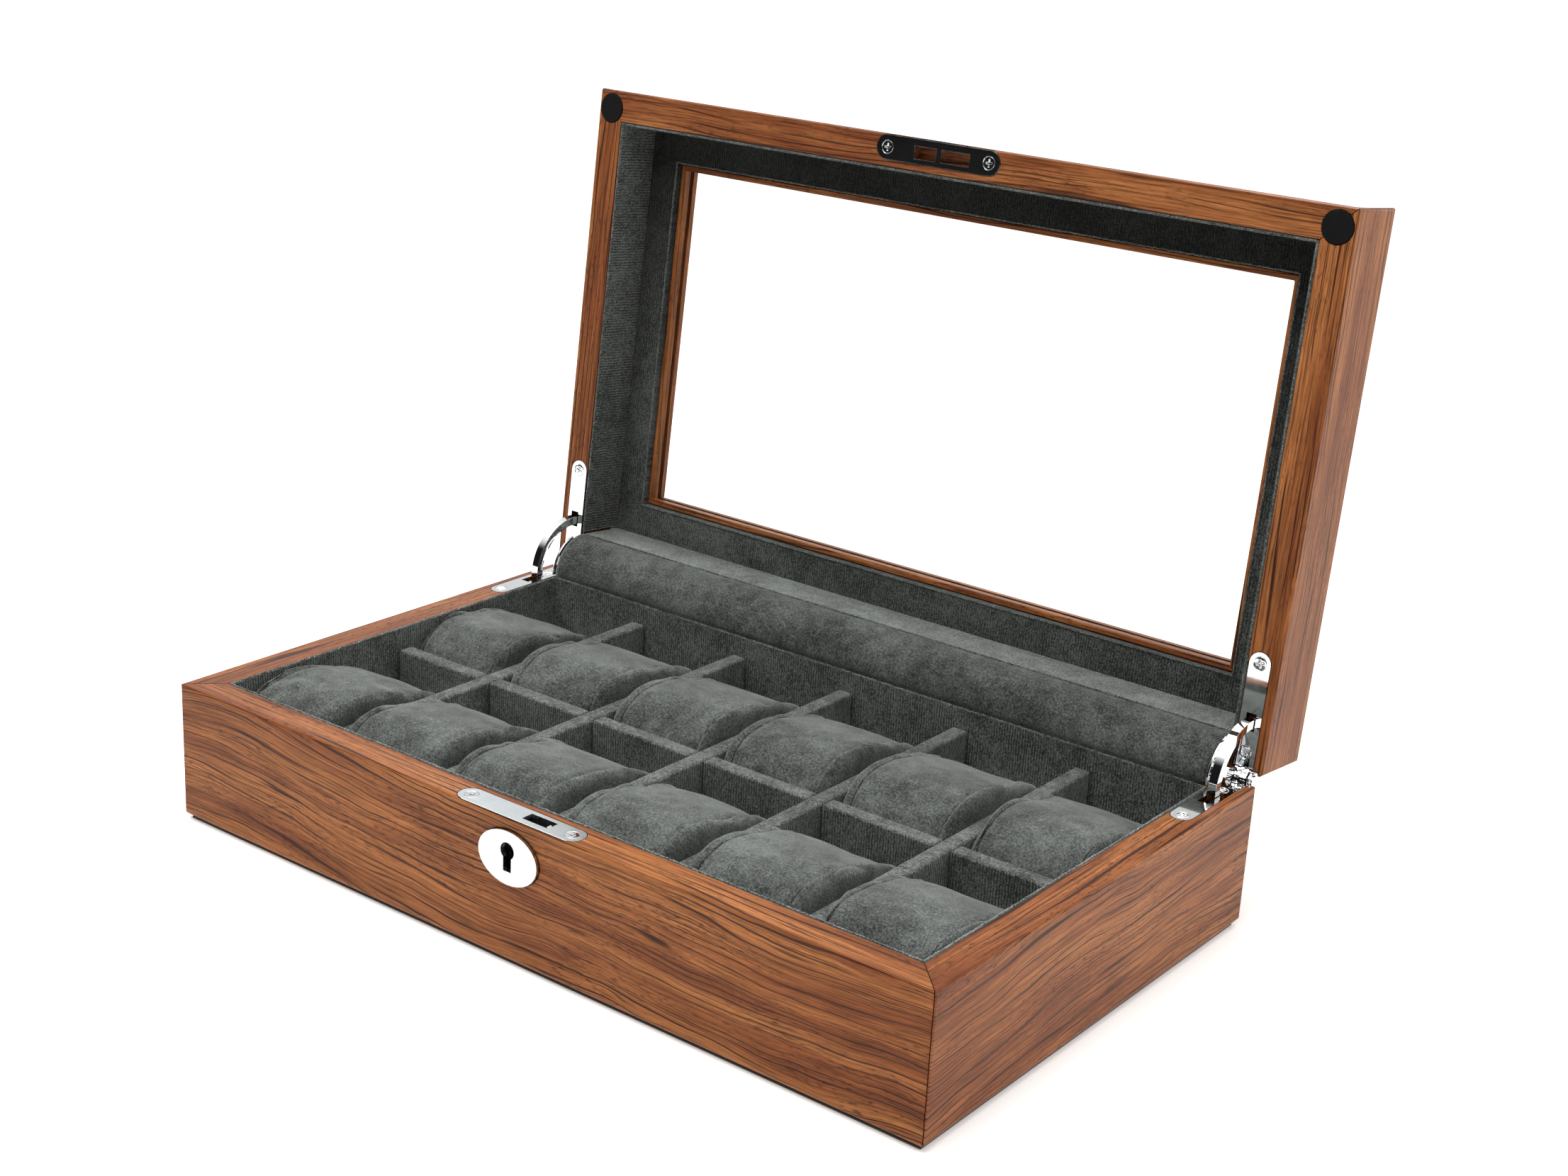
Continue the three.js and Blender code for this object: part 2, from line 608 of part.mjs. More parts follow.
function hinge(base, lid, side) {
  const word = side < 0 ? "left" : "right";
  const [from, to] = BARREL_ENDS;
  const [k0, k1] = LID_KNUCKLE;
  const slack = BARREL + FIT;
  const bore = hingeRod(side, PIN_BORE, from - 2, to + 2);
  const slit = (a, b, y) => block(span(side, a, b), y, [RIM - 5, LID_RIM + 5]);

  const baseHeights = [RIM - LEAF.thick, RIM];
  const baseLeaf = joined(
    leafBlank(side, baseHeights).subtract(hingeRod(side, slack, LEAF.inner - 1, LEAF.outer + 1)),
    leafKnuckle(side, from, k0 - FIT, baseHeights),
    leafKnuckle(side, k1 + FIT, to, baseHeights),
  );
  const armSlot = slit(ARM.inner - FIT, ARM.outer + FIT, ARM_SLOT);
  const baseSeats = screwSeats(side, BASE_SCREWS, RIM, -1);
  addTo(base, `${word}_base_leaf`, without(baseLeaf, bore, armSlot, ...baseSeats), CHROME());

  const lidHeights = [LID_RIM, LID_RIM + LEAF.thick];
  const lidLeaf = joined(
    leafBlank(side, lidHeights).subtract(hingeRod(side, slack, LEAF.inner - 1, LEAF.outer + 1)),
    leafKnuckle(side, k0, k1, lidHeights),
    armLugs(side),
  );
  const window = slit(ARM.inner - FIT, ARM.outer + FIT, [76.5, 82.8]);
  const lugBore = alongX(circle(ARM_PIVOT.y, ARM_PIVOT.z, LUG_BORE), span(side, LUG[0] - 1, LUG[3] + 1), 8);
  const lidSeats = screwSeats(side, LID_SCREWS, LID_RIM, 1);
  addTo(lid, `${word}_lid_leaf`, without(lidLeaf, bore, window, lugBore, ...lidSeats), CHROME());

  const shank = hingeRod(side, PIN, from - 0.1, to + 0.4, 8);
  const head = hingeRod(side, 3, to + 0.3, to + 1.4, 10).add(hingeRod(side, 2.2, to + 1.3, to + 2, 10));
  addTo(base, `${word}_hinge_pin`, shank.add(head), CHROME());
}

// A knuckle's outline: a circle about the hinge axis with shallow flutes along it
function flutedCircle() {
  const pitch = 360 / FLUTES;
  const floor = BARREL - FLUTE_DEPTH;
  const flute = (i) => [[0, BARREL], [0.5, BARREL], [0.62, floor], [0.88, floor]]
    .map(([part, radius]) => roundHinge(radius, (i + part) * pitch));
  return outline(Array.from({ length: FLUTES }, (_, i) => flute(i)).flat());
}

// A knuckle with the neck that joins it to its leaf
function leafKnuckle(side, a, b, heights) {
  const neck = block(span(side, a, b), [HINGE_Y - BARREL - 2, HINGE_Y - PIN_BORE - 0.5], heights);
  return alongX(flutedCircle(), span(side, a, b)).add(neck);
}

function armLugs(side) {
  const heights = [LID_RIM + LEAF.thick - 0.5, ARM_PIVOT.z + 2];
  const lug = (a, b) => block(span(side, a, b), [ARM_PIVOT.y - 2.2, ARM_PIVOT.y + 2.2], heights);
  return lug(LUG[0], LUG[1]).add(lug(LUG[2], LUG[3]));
}

// Drawn with the lid shut, and turned open with it
function stayArm(lid, side) {
  const { inner, outer, near, far, low } = ARM;
  const { y, z, axle, eye } = ARM_PIVOT;
  const from = low - OPEN_ANGLE;
  const to = THREE.MathUtils.radToDeg(Math.atan2(z - HINGE_Z, HINGE_Y - y));
  const arc = outline([...hingeArc(near, from, to, 20), ...hingeArc(far, to, from, 20)]);
  const width = span(side, inner, outer);
  const body = joined(
    alongX(arc, width),
    alongX(circle(y, z, eye), width, 8),
    alongX(circle(y, z, axle), span(side, LUG[0] + 0.1, LUG[3] - 0.1), 8),
  );
  addTo(lid, side < 0 ? "left_stay_arm" : "right_stay_arm", body, CHROME());
}

// Lid

function lidRails(group) {
  const names = ["lid_front_rail", "lid_right_rail", "lid_back_rail", "lid_left_rail"];
  const strikeBed = alongZ(
    stadium(PLATE.length / 2 + FIT, PLATE.width / 2 + FIT, LOCK.y),
    [LID_RIM - 1, LID_RIM + PLATE.thick + FIT],
  );
  const hookRoom = block([-10.8, 14.5], [-95.3, -90], [LID_RIM, LID_RIM + 5]);
  const screwHoles = [-1, 1].map((side) =>
    screwShape(side * PLATE.screws, LOCK.y, LID_RIM, 1, 11, SCREW_SLACK));
  const bumperBeds = [-1, 1].map((side) => alongZ(
    circle(side * BUMPER.x, BUMPER.y, BUMPER_RADIUS + FIT),
    [LID_RIM - 1, LID_RIM + BUMPER.deep + FIT],
    10,
  ));
  const sideCuts = [-1, 1].flatMap((side) => [
    barrelNotch(side),
    leafBed(side, [LID_RIM - 1, LID_RIM + LEAF.thick + FIT]),
    block(
      span(side, LUG[0] - FIT, LUG[3] + FIT),
      [ARM_PIVOT.y - 3.8, ARM_PIVOT.y + 3.1],
      [LID_RIM, ARM_PIVOT.z + 2 + FIT],
    ),
    alongX(endPlateSweep(), endPlateSlot(side)),
  ]);
  const tuck = block(
    [-TAB_HALF - FIT, TAB_HALF + FIT],
    [HALF_DEPTH - WALL - 1, HALF_DEPTH - WALL + TUCK],
    [LID_RIM - 1, LID_RIM + ROLL_TAB + FIT],
  );
  const frontCuts = [strikeBed, hookRoom, ...screwHoles, ...bumperBeds];
  const cuts = [frontCuts, [...sideCuts, ...bumperBeds], [...sideCuts, tuck], [...sideCuts, ...bumperBeds]];
  names.forEach((name, turns) => {
    const rail = frameSide(lidSection(), turns, FLANGE);
    addTo(group, name, without(rail, ...cuts[turns]), WOOD());
  });
}

function lidFilling(group) {
  const inset = (u) => [HALF_WIDTH - u, HALF_DEPTH - u];
  const [glassX, glassY] = inset(GLASS_REBATE + FIT);
  const glass = block([-glassX, glassX], [-glassY, glassY], [GLASS_BOTTOM, GLASS_TOP]);
  const glassLook = new THREE.MeshStandardMaterial({ color: 0xdfe8e6, roughness: 0.05 });
  glassLook.transparent = true;
  glassLook.opacity = 0.3;
  addTo(group, "glass_pane", glass, glassLook);

  const bead = inset(BOARD_EDGE + FIT);
  const beadHeights = [GLASS_BOTTOM - FIT - BEAD_HEIGHT, GLASS_BOTTOM - FIT];
  addTo(group, "glass_bead", flatRing(...bead, FLANGE - BOARD_EDGE - FIT, beadHeights), WOOD());

  const board = [LINING_X + CLOTH, LINING_Y + CLOTH];
  const [openX, openY] = inset(BOARD_EDGE);
  const heights = [BOARD_TOP - BOARD, BOARD_TOP];
  const hole = block([-openX, openX], [-openY, openY], [LID_RIM, LID_TOP]);
  const full = block([-board[0], board[0]], [-board[1], board[1]], heights);
  addTo(group, "lid_velvet_board", full.subtract(hole), VELVET());

  const ring = flatRing(...board, CLOTH, [LID_RIM + FIT, heights[0] - FIT]);
  const clearance = [-1, 1].map((side) =>
    block(span(side, ROLL_HALF - 0.5, HALF_WIDTH), [LINING_Y - 0.6, HALF_DEPTH], [RIM, HINGE_Z + 17]));
  addTo(group, "lid_wall_lining", without(ring, ...clearance), VELVET());
}

function lidFittings(group) {
  const { length, width, thick, screws } = PLATE;
  const blank = alongZ(stadium(length / 2, width / 2, LOCK.y), [LID_RIM, LID_RIM + thick], 8);
  const windows = STRIKE_WINDOWS.map((x) => block(x, STRIKE_WINDOW_Y, [RIM, LID_RIM + 5]));
  const seats = [-1, 1].map((side) => screwShape(side * screws, LOCK.y, LID_RIM, 1, 8, SCREW_SLACK));
  addTo(group, "strike_plate", without(blank, ...windows, ...seats), CHROME());
  for (const side of [-1, 1]) {
    const word = side < 0 ? "left" : "right";
    const face = LID_RIM + 0.1;
    const screw = screwShape(side * screws, LOCK.y, face, 1, 9, 0);
    const body = screw.subtract(crossRecess(side * screws, LOCK.y, face, 1));
    addTo(group, `strike_plate_screw_${word}`, body, CHROME());
    const { x, y, proud, deep } = BUMPER;
    const disc = alongZ(circle(side * x, y, BUMPER_RADIUS), [LID_RIM - proud, LID_RIM + deep], 12);
    addTo(group, `${word}_bumper`, disc, RUBBER());
  }
}

// A group that turns its pieces, drawn shut, to the open position
function openLid(root) {
  const axis = new THREE.Group();
  axis.position.set(0, HINGE_Y, HINGE_Z);
  axis.rotation.x = THREE.MathUtils.degToRad(-OPEN_ANGLE);
  const pieces = new THREE.Group();
  pieces.position.set(0, -HINGE_Y, -HINGE_Z);
  axis.add(pieces);
  root.add(axis);
  return pieces;
}

const watchBox = new THREE.Group();
const lid = openLid(watchBox);
baseWalls(watchBox);
baseBottom(watchBox);
dividers(watchBox);
pillows(watchBox);
hingeCover(watchBox);
endPlates(watchBox);
lockParts(watchBox);
for (const side of [-1, 1]) {
  hinge(watchBox, lid, side);
  stayArm(lid, side);
}
lidRails(lid);
lidFilling(lid);
lidFittings(lid);

export default watchBox;
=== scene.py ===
import json
import math
import random

import bmesh
import bpy
from mathutils import Matrix, Vector, noise


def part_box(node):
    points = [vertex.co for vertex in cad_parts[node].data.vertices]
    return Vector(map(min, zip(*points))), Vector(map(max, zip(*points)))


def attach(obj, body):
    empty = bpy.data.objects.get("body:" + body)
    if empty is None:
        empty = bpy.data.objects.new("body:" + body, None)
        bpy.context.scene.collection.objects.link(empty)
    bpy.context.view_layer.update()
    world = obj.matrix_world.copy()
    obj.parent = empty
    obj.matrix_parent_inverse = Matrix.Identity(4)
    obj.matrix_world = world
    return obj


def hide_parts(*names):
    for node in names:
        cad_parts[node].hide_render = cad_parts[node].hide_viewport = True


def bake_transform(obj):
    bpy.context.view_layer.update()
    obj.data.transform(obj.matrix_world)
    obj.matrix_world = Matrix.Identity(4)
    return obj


# A watch box with its lid open: wood veneer, velvet, chrome fittings and a pane of glass.
# Metres, +Z up, +X to the right, the front is -Y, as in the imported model.

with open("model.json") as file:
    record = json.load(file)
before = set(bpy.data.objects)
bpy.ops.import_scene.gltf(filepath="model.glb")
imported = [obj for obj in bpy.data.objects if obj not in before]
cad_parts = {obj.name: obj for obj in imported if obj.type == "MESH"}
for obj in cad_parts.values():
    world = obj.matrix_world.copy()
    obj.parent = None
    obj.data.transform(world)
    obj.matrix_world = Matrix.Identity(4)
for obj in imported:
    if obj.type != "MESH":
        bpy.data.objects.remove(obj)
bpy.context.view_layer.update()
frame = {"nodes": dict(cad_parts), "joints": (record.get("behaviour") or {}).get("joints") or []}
nodes = frame["nodes"]
MM = 0.001

lid_hinge = next(joint for joint in frame["joints"] if joint["name"] == "lid_hinge")
HINGE = Vector(lid_hinge["pos_m"])
OPEN_ANGLE = math.radians(-lid_hinge["range_deg"][0])
OPENING = Matrix.Rotation(-OPEN_ANGLE, 4, "X")
TO_OPEN = Matrix.Translation(HINGE) @ OPENING @ Matrix.Translation(-HINGE)
TO_SHUT = TO_OPEN.inverted()
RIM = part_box("base_left_wall")[1].z  # height of the base's rim
LID_RIM = 2 * HINGE.z - RIM  # height of the lid's rim when the lid is shut
LINING_LOW, LINING_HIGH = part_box("base_wall_lining")
LINING_FACE = 0.1516  # how far the wall lining's inner face is from the box's middle, along x


def shut_points(name):
    """A lid node's vertices, where they are with the lid shut."""
    return [TO_SHUT @ v.co for v in nodes[name].data.vertices]


# Node trees

class NodeTree:
    """A node tree, with short calls that add a node and return its output socket."""

    def __init__(self, tree):
        self.tree = tree

    def add(self, kind, inputs, **settings):
        node = self.tree.nodes.new("ShaderNode" + kind)
        for name, value in settings.items():
            setattr(node, name, value)
        for key, value in inputs.items():
            self.feed(node.inputs[key], value)
        return node

    def feed(self, socket, value):
        if isinstance(value, bpy.types.NodeSocket):
            self.tree.links.new(value, socket)
        else:
            socket.default_value = value

    def math(self, operation, a, b=0.0):
        return self.add("Math", {0: a, 1: b}, operation=operation).outputs[0]

    def times(self, a, b):
        return self.math("MULTIPLY", a, b)

    def plus(self, a, b):
        return self.math("ADD", a, b)

    def minus(self, a, b):
        return self.math("SUBTRACT", a, b)

    def absolute(self, a):
        return self.math("ABSOLUTE", a)

    def wave(self, turns):
        """A cosine that repeats at each whole turn."""
        return self.math("COSINE", self.times(turns, 2 * math.pi))

    def range(self, value, low, high, to_low=0.0, to_high=1.0, kind="SMOOTHSTEP"):
        inputs = {0: value, 1: low, 2: high, 3: to_low, 4: to_high}
        return self.add("MapRange", inputs, interpolation_type=kind).outputs[0]

    def vector(self, x, y, z):
        return self.add("CombineXYZ", {0: x, 1: y, 2: z}).outputs[0]

    def split(self, vector):
        return self.add("SeparateXYZ", {0: vector}).outputs[:]

    def noise(self, vector, scale=1.0, detail=2.0, rough=0.5, distortion=0.0):
        inputs = {"Vector": vector, "Scale": scale, "Detail": detail, "Roughness": rough,
                  "Distortion": distortion}
        return self.add("TexNoise", inputs).outputs[0]

    def centred(self, value, amount):
        """A value from 0 to 1 spread over an amount, half of it below zero."""
        return self.times(self.minus(value, 0.5), amount)

    def uneven(self, vector, size, amount, detail=2.0, rough=0.5):
        """Noise about zero, with patches of a size in mm."""
        return self.centred(self.noise(vector, 1 / size, detail, rough), amount)

    def ramp(self, factor, *stops):
        """A colour ramp through (position, colour) stops."""
        node = self.add("ValToRGB", {0: factor})
        elements = node.color_ramp.elements
        while len(elements) < len(stops):
            elements.new(0.5)
        for element, (position, colour) in zip(elements, stops):
            element.position = position
            element.color = (*colour, 1)
        return node.outputs[0]

    def mix(self, factor, a, b, blend="MIX"):
        inputs = {"Factor": factor, 6: a, 7: b}
        return self.add("Mix", inputs, data_type="RGBA", blend_type=blend).outputs[2]

    def scaled(self, colour, factor):
        """The colour multiplied by a factor that changes over the surface."""
        return self.mix(1.0, colour, self.vector(factor, factor, factor), "MULTIPLY")

    def place(self, lid=False, seed=0.0):
        """Where a point is at rest, in mm. A lid piece's point is where it is with the lid shut."""
        point = self.add("TexCoord", {}).outputs["Object"]
        if lid:
            turn = {"Location": TO_SHUT.translation, "Rotation": (OPEN_ANGLE, 0, 0)}
            point = self.add("Mapping", {"Vector": point, **turn}).outputs[0]
        to_mm = {"Vector": point, "Scale": (1 / MM,) * 3, "Location": (seed,) * 3}
        return self.add("Mapping", to_mm).outputs[0]

    def level(self, lid=False):
        """1 where the surface faces up or down with the lid shut, and 0 where it is upright."""
        facing = self.add("TexCoord", {}).outputs["Normal"]
        if lid:
            turn = {"Vector": facing, "Rotation": (OPEN_ANGLE, 0, 0)}
            facing = self.add("Mapping", turn, vector_type="VECTOR").outputs[0]
        return self.range(self.absolute(self.split(facing)[2]), 0.55, 0.8)


class Shader(NodeTree):
    """The node tree of a new material."""

    def __init__(self, name):
        self.material = bpy.data.materials.new(name)
        self.material.use_nodes = True
        super().__init__(self.material.node_tree)
        self.surface = self.tree.nodes["Principled BSDF"]

    def set(self, **values):
        """Sets the surface's sockets: base_color=... is its Base Color."""
        for key, value in values.items():
            name = key.replace("_", " ").title().replace("Ior", "IOR")
            self.feed(self.surface.inputs[name], value)

    def bump(self, height, strength, distance):
        """Bump from a height, strength from 0 to 1 and distance in mm."""
        inputs = {"Height": height, "Strength": strength, "Distance": distance * MM}
        self.set(normal=self.add("Bump", inputs).outputs[0])


# Wood

DARK_WOOD = (0.032, 0.0080, 0.003)
BROWN_WOOD = (0.122, 0.032, 0.0095)
RED_WOOD = (0.208, 0.062, 0.0175)
PALE_WOOD = (0.335, 0.121, 0.037)
GRAIN_SLANT = 0.85  # how much the grain climbs for each mm through a board
RIM_CALM = 0.8  # how much straighter the grain runs along a rim than down a side
FALL_START, FALL_END = -165.0, 20.0  # where a leaning grain falls, in mm along the board
SWAY, RIPPLE = 15.0, 3.0  # how far the grain wanders, in mm, slowly and quickly
RING_SPACING, HAIR_SPACING = 2.7, 1.15  # mm between the broad growth lines and the thin ones
KEYHOLE_SHADE = (8.0, 9.0)  # mm from the plate's middle: painted black shade inside, bare wood outside


def board_axes(s, x, y, along):
    """The distance along a board and across it. On a frame each side runs along itself, and the
    sides meet at mitres."""
    if along == "frame":
        size = LINING_HIGH - LINING_LOW
        mitre = s.minus(s.absolute(x), (size.x - size.y) / 2 / MM)
        on_side = s.math("GREATER_THAN", mitre, s.absolute(y))
        swap = s.times(on_side, s.minus(y, x))
        return s.plus(x, swap), s.minus(y, swap)
    return (y, x) if along == "y" else (x, y)


def painted_keyhole_shade(s, x, z, middle):
    """Painted shade: almost 0 round the keyhole's middle, and 1 further out."""
    off_x = s.minus(x, middle.x / MM)
    off_z = s.minus(z, middle.z / MM)
    off_squared = s.plus(s.times(off_x, off_x), s.times(off_z, off_z))
    inside, outside = KEYHOLE_SHADE
    return s.range(off_squared, inside ** 2, outside ** 2, 0.03, 1.0)


def wood(name, along, lid=False, seed=0.0, lean=0.0, lacquer=0.0, keyhole=None):
    """Reddish veneer, its grain running along the x or y axis, or along each side of a frame. lean
    is how far, in mm, the grain falls over the first half of the board. lacquer is how much of a
    clear coat it has. keyhole is the middle of the plate over a bore, round which the wood is
    painted black as shade inside the bore."""
    s = Shader(name)
    x, y, z = s.split(s.place(lid))
    length, across = board_axes(s, x, y, along)
    calm = s.minus(1.0, s.times(s.level(lid), RIM_CALM))
    fall = s.times(s.range(length, FALL_START, FALL_END, 0.0, lean), calm)
    depth = s.plus(s.plus(z, s.times(across, GRAIN_SLANT)), fall)

    def stretched(height, long, wide, offset, detail, rough=0.5):
        """Noise whose patches are long along the board and wide across the height, in mm."""
        vector = s.vector(s.times(length, 1 / long), s.times(height, 1 / wide), seed + offset)
        return s.noise(vector, detail=detail, rough=rough)

    def patches(long, wide, offset, detail=2.0):
        return stretched(depth, long, wide, offset, detail)

    sway = s.centred(patches(120, 60, 0, 1.5), SWAY)
    ripple = s.centred(patches(24, 10, 7, 1.5), RIPPLE)
    grain = s.plus(depth, s.times(s.plus(sway, ripple), calm))

    def streaks(long, wide, offset, detail=2.0, rough=0.5):
        return stretched(grain, long, wide, offset, detail, rough)

    def rings(spacing, waver, drift, sharp):
        """Thin lines along the grain, pushed closer and wider by a drift."""
        phase = s.plus(s.times(grain, 1 / spacing), s.times(drift, waver))
        return s.range(s.wave(phase), sharp, 1.0)

    def darker(amount, colour):
        return s.mix(amount, colour, (*DARK_WOOD, 1))

    bands = s.times(streaks(210, 6.5, 11, 3.0, 0.6), 0.8)
    tone = s.plus(bands, s.times(patches(60, 22, 3), 0.50))
    colour = s.ramp(tone, (0.40, BROWN_WOOD), (0.58, RED_WOOD), (0.76, PALE_WOOD))

    # Growth lines, strong in places and faint in others
    strong = s.range(streaks(60, 5, 23), 0.34, 0.57, 0.10, 1.0)
    lines = s.times(rings(RING_SPACING, 3.6, streaks(150, 8, 17, 1.7), 0.70), strong)
    colour = darker(s.times(lines, 0.95), colour)
    faint = s.range(streaks(34, 3.5, 31), 0.36, 0.60)
    hairs = s.times(rings(HAIR_SPACING, 3.2, streaks(70, 3.5, 29, 1.7), 0.45), faint)
    colour = darker(s.times(hairs, 0.66), colour)

    # Fibres, and short dark pores that are denser in some zones
    fibre = streaks(18, 0.7, 37, 2.5, 0.7)
    silk = s.ramp(fibre, (0.30, (0.56, 0.54, 0.52)), (0.70, (1.36, 1.38, 1.38)))
    colour = s.mix(1.0, colour, silk, "MULTIPLY")
    pores = s.range(streaks(3.6, 0.5, 41, 1.0), 0.56, 0.70)
    zone = s.range(patches(55, 13, 43), 0.44, 0.62)
    colour = darker(s.times(pores, s.plus(s.times(zone, 0.55), 0.18)), colour)

    # Painted shade: the wood round the keyhole is darkened almost to black, so the bore looks dark
    # inside.
    if keyhole:
        colour = s.scaled(colour, painted_keyhole_shade(s, x, z, keyhole))
    matt = s.plus(s.times(fibre, 0.5), s.times(pores, 0.5))
    rough = s.range(matt, 0.1, 0.9, 0.36, 0.50, "LINEAR")
    s.set(base_color=colour, roughness=rough, specular_ior_level=0.12)
    s.set(coat_weight=lacquer, coat_roughness=0.10)
    s.bump(s.minus(s.times(fibre, 0.3), s.times(s.plus(lines, pores), 0.5)), 0.25, 0.10)
    return s.material


# Cloth

VELVET_SHADES = [(0.0185, 0.0200, 0.0188), (0.0665, 0.0720, 0.0672), (0.148, 0.158, 0.148)]
VELVET_SHEEN = (0.84, 0.88, 0.81, 1)
RIB_PITCH = 1.1  # mm


def velvet_ribs(s, point, strength, flat, lid):
    """Rows of pile that waver and come and go, on the upright faces or, when flat, on all."""
    x, y, z = s.split(point)
    crossing, run = (x, y) if flat else (s.plus(x, y), z)
    waver = s.uneven(point, 3.0, 0.9)
    wave = s.wave(s.plus(s.times(crossing, 1 / RIB_PITCH), waver))
    patches = s.range(s.noise(point, 1 / 9.0), 0.36, 0.60, 0.05, 0.15 * strength)
    broken = s.uneven(s.vector(crossing, s.times(run, 0.4), 3.0), 0.7, 0.5)
    rows = s.plus(s.times(wave, patches), broken)
    return rows if flat else s.times(rows, s.minus(1.0, s.level(lid)))


def seam_shade_and_stitches(s, point, seams, lid):
    """How dark the seam lines are that run front to back at each seam's distance: painted shade in
    the seams' creases, broken into stitch marks.
    """
    side = s.absolute(s.split(s.place(lid))[0])
    away = s.absolute(s.minus(side, seams[0]))
    for seam in seams[1:]:
        away = s.math("MINIMUM", away, s.absolute(s.minus(side, seam)))
    stitches = s.range(s.noise(point, 1 / 1.3, 1.0), 0.40, 0.52, 0.25, 1.0)
    return s.times(s.range(away, 0.15, 0.5, 0.3, 0.0), stitches)


def velvet(name, tone=1.0, ribs=0.0, lid=False, seed=0.0, flat_ribs=False, painted_light_ramp=None,
           rough_nap=0.95, seams=()):
    """Grey-green plush with a short nap. ribs is how strongly fine ribs show: upright on walls, or
    front to back with flat_ribs. painted_light_ramp is (y, tone) at two places, in mm, between
    which the colour is scaled as painted light and shade. seams are the distances from the box's
    middle to stitched seams, in mm."""
    s = Shader(name)
    point = s.place(lid, seed)
    tufts = s.uneven(point, 0.75, rough_nap, rough=0.6)
    pile = s.uneven(point, 0.27, 0.45)
    drifts = s.uneven(point, 5.0, 0.30)
    clouds = s.uneven(point, 21.0, 0.36)
    value = s.plus(s.plus(tufts, pile), s.plus(s.plus(clouds, drifts), 0.5))
    if ribs:
        value = s.plus(value, velvet_ribs(s, point, ribs, flat_ribs, lid))
    # Painted shade along the seams' creases, broken into stitch marks.
    if seams:
        value = s.minus(value, seam_shade_and_stitches(s, point, seams, lid))
    low, middle, high = ([c * tone for c in colour] for colour in VELVET_SHADES)
    colour = s.ramp(value, (0.32, low), (0.50, middle), (0.70, high))
    # Painted light and shade: the colour is scaled between two tones at two places front to back,
    # on the shut lid.
    if painted_light_ramp:
        (y_first, first), (y_last, last) = painted_light_ramp
        change = s.range(s.split(s.place(lid))[1], y_first, y_last, first, last)
        colour = s.scaled(colour, change)
    s.set(base_color=colour, roughness=0.92, specular_ior_level=0.1)
    s.set(sheen_weight=0.55, sheen_roughness=0.38, sheen_tint=VELVET_SHEEN)
    s.bump(value, 0.8, 0.4)
    return s.material


def felt():
    s = Shader("underside_felt_cloth")
    point = s.place()
    fibres = s.noise(point, 1 / 0.5, 4.0, 0.75, 1.5)
    clumps = s.noise(point, 1 / 5.0)
    value = s.plus(s.times(fibres, 0.7), s.times(clumps, 0.3))
    colour = s.ramp(value, (0.3, (0.012, 0.013, 0.013)), (0.7, (0.05, 0.052, 0.05)))
    s.set(base_color=colour, roughness=0.95, sheen_weight=0.2, sheen_roughness=0.6)
    s.bump(value, 0.6, 0.3)
    return s.material


# Other materials

def metal(name, colour, rough, wear):
    """Polished plating, whose roughness rises by the wear along faint rubbing marks."""
    s = Shader(name)
    point = s.place()
    smears = s.noise(point, 1 / 9.0, 3.0, 0.6)
    grit = s.noise(point, 1 / 0.35)
    rubbed = [c * 0.95 for c in colour]
    s.set(base_color=s.mix(smears, (*rubbed, 1), (*colour, 1)), metallic=1.0)
    s.set(roughness=s.range(smears, 0.3, 0.7, rough, rough + wear, "LINEAR"))
    s.bump(s.plus(smears, s.times(grit, 0.03)), 0.06, 0.06)
    return s.material


def glass():
    s = Shader("clear_glass")
    film = s.noise(s.place(), 1 / 45.0, 3.0, 0.6)
    s.set(base_color=s.mix(film, (0.985, 0.998, 0.99, 1), (0.995, 1.0, 0.998, 1)), ior=1.45)
    s.set(transmission_weight=1.0, roughness=s.range(film, 0.45, 0.8, 0.0, 0.02, "LINEAR"))
    return s.material


def rubber():
    s = Shader("black_rubber")
    grain = s.noise(s.place(), 1 / 0.5, 3.0, 0.6)
    s.set(base_color=s.ramp(grain, (0.3, (0.002, 0.002, 0.002)), (0.7, (0.006, 0.006, 0.007))))
    s.set(roughness=s.range(grain, 0.3, 0.7, 0.6, 0.75, "LINEAR"), specular_ior_level=0.1)
    s.bump(grain, 0.3, 0.1)
    return s.material


def board():
    s = Shader("bottom_board")
    x, y, z = s.split(s.place())
    chips = s.noise(s.vector(s.times(x, 1 / 9), s.times(y, 1 / 1.2), z), detail=4.0, rough=0.65)
    colour = s.ramp(chips, (0.3, (0.14, 0.075, 0.036)), (0.7, (0.30, 0.18, 0.095)))
    s.set(base_color=colour, roughness=0.75)
    s.bump(chips, 0.3, 0.15)
    return s.material


def painted_shade_steel():
    """Near-black painted shade for the lock's inside, which shows through the keyhole."""
    s = Shader("painted_shade_steel")
    marks = s.noise(s.place(), 1 / 2.0, 3.0)
    s.set(base_color=s.ramp(marks, (0.3, (0.012, 0.012, 0.012)), (0.7, (0.04, 0.04, 0.042))))
    s.set(metallic=0.6, roughness=s.range(marks, 0.3, 0.7, 0.4, 0.6, "LINEAR"))
    return s.material


# Carried-over CAD nodes

SHARP_EDGE = math.radians(38)  # edges sharper than this are rounded
NORMAL_WEIGHT = 80  # how far the large faces decide the shading, of 100
WOOD_EDGE = 0.25  # mm
LINING_BACK = LINING_HIGH.y / MM - 1.2  # about where the lid lining's face is at the back, in mm


def round_edges(piece, width, segments):
    """A modifier that rounds a piece's edges to a width in mm."""
    edge = piece.modifiers.new("edge", "BEVEL")
    edge.width = width * MM
    edge.segments = segments
    edge.limit_method = "ANGLE"
    edge.angle_limit = SHARP_EDGE
    return edge


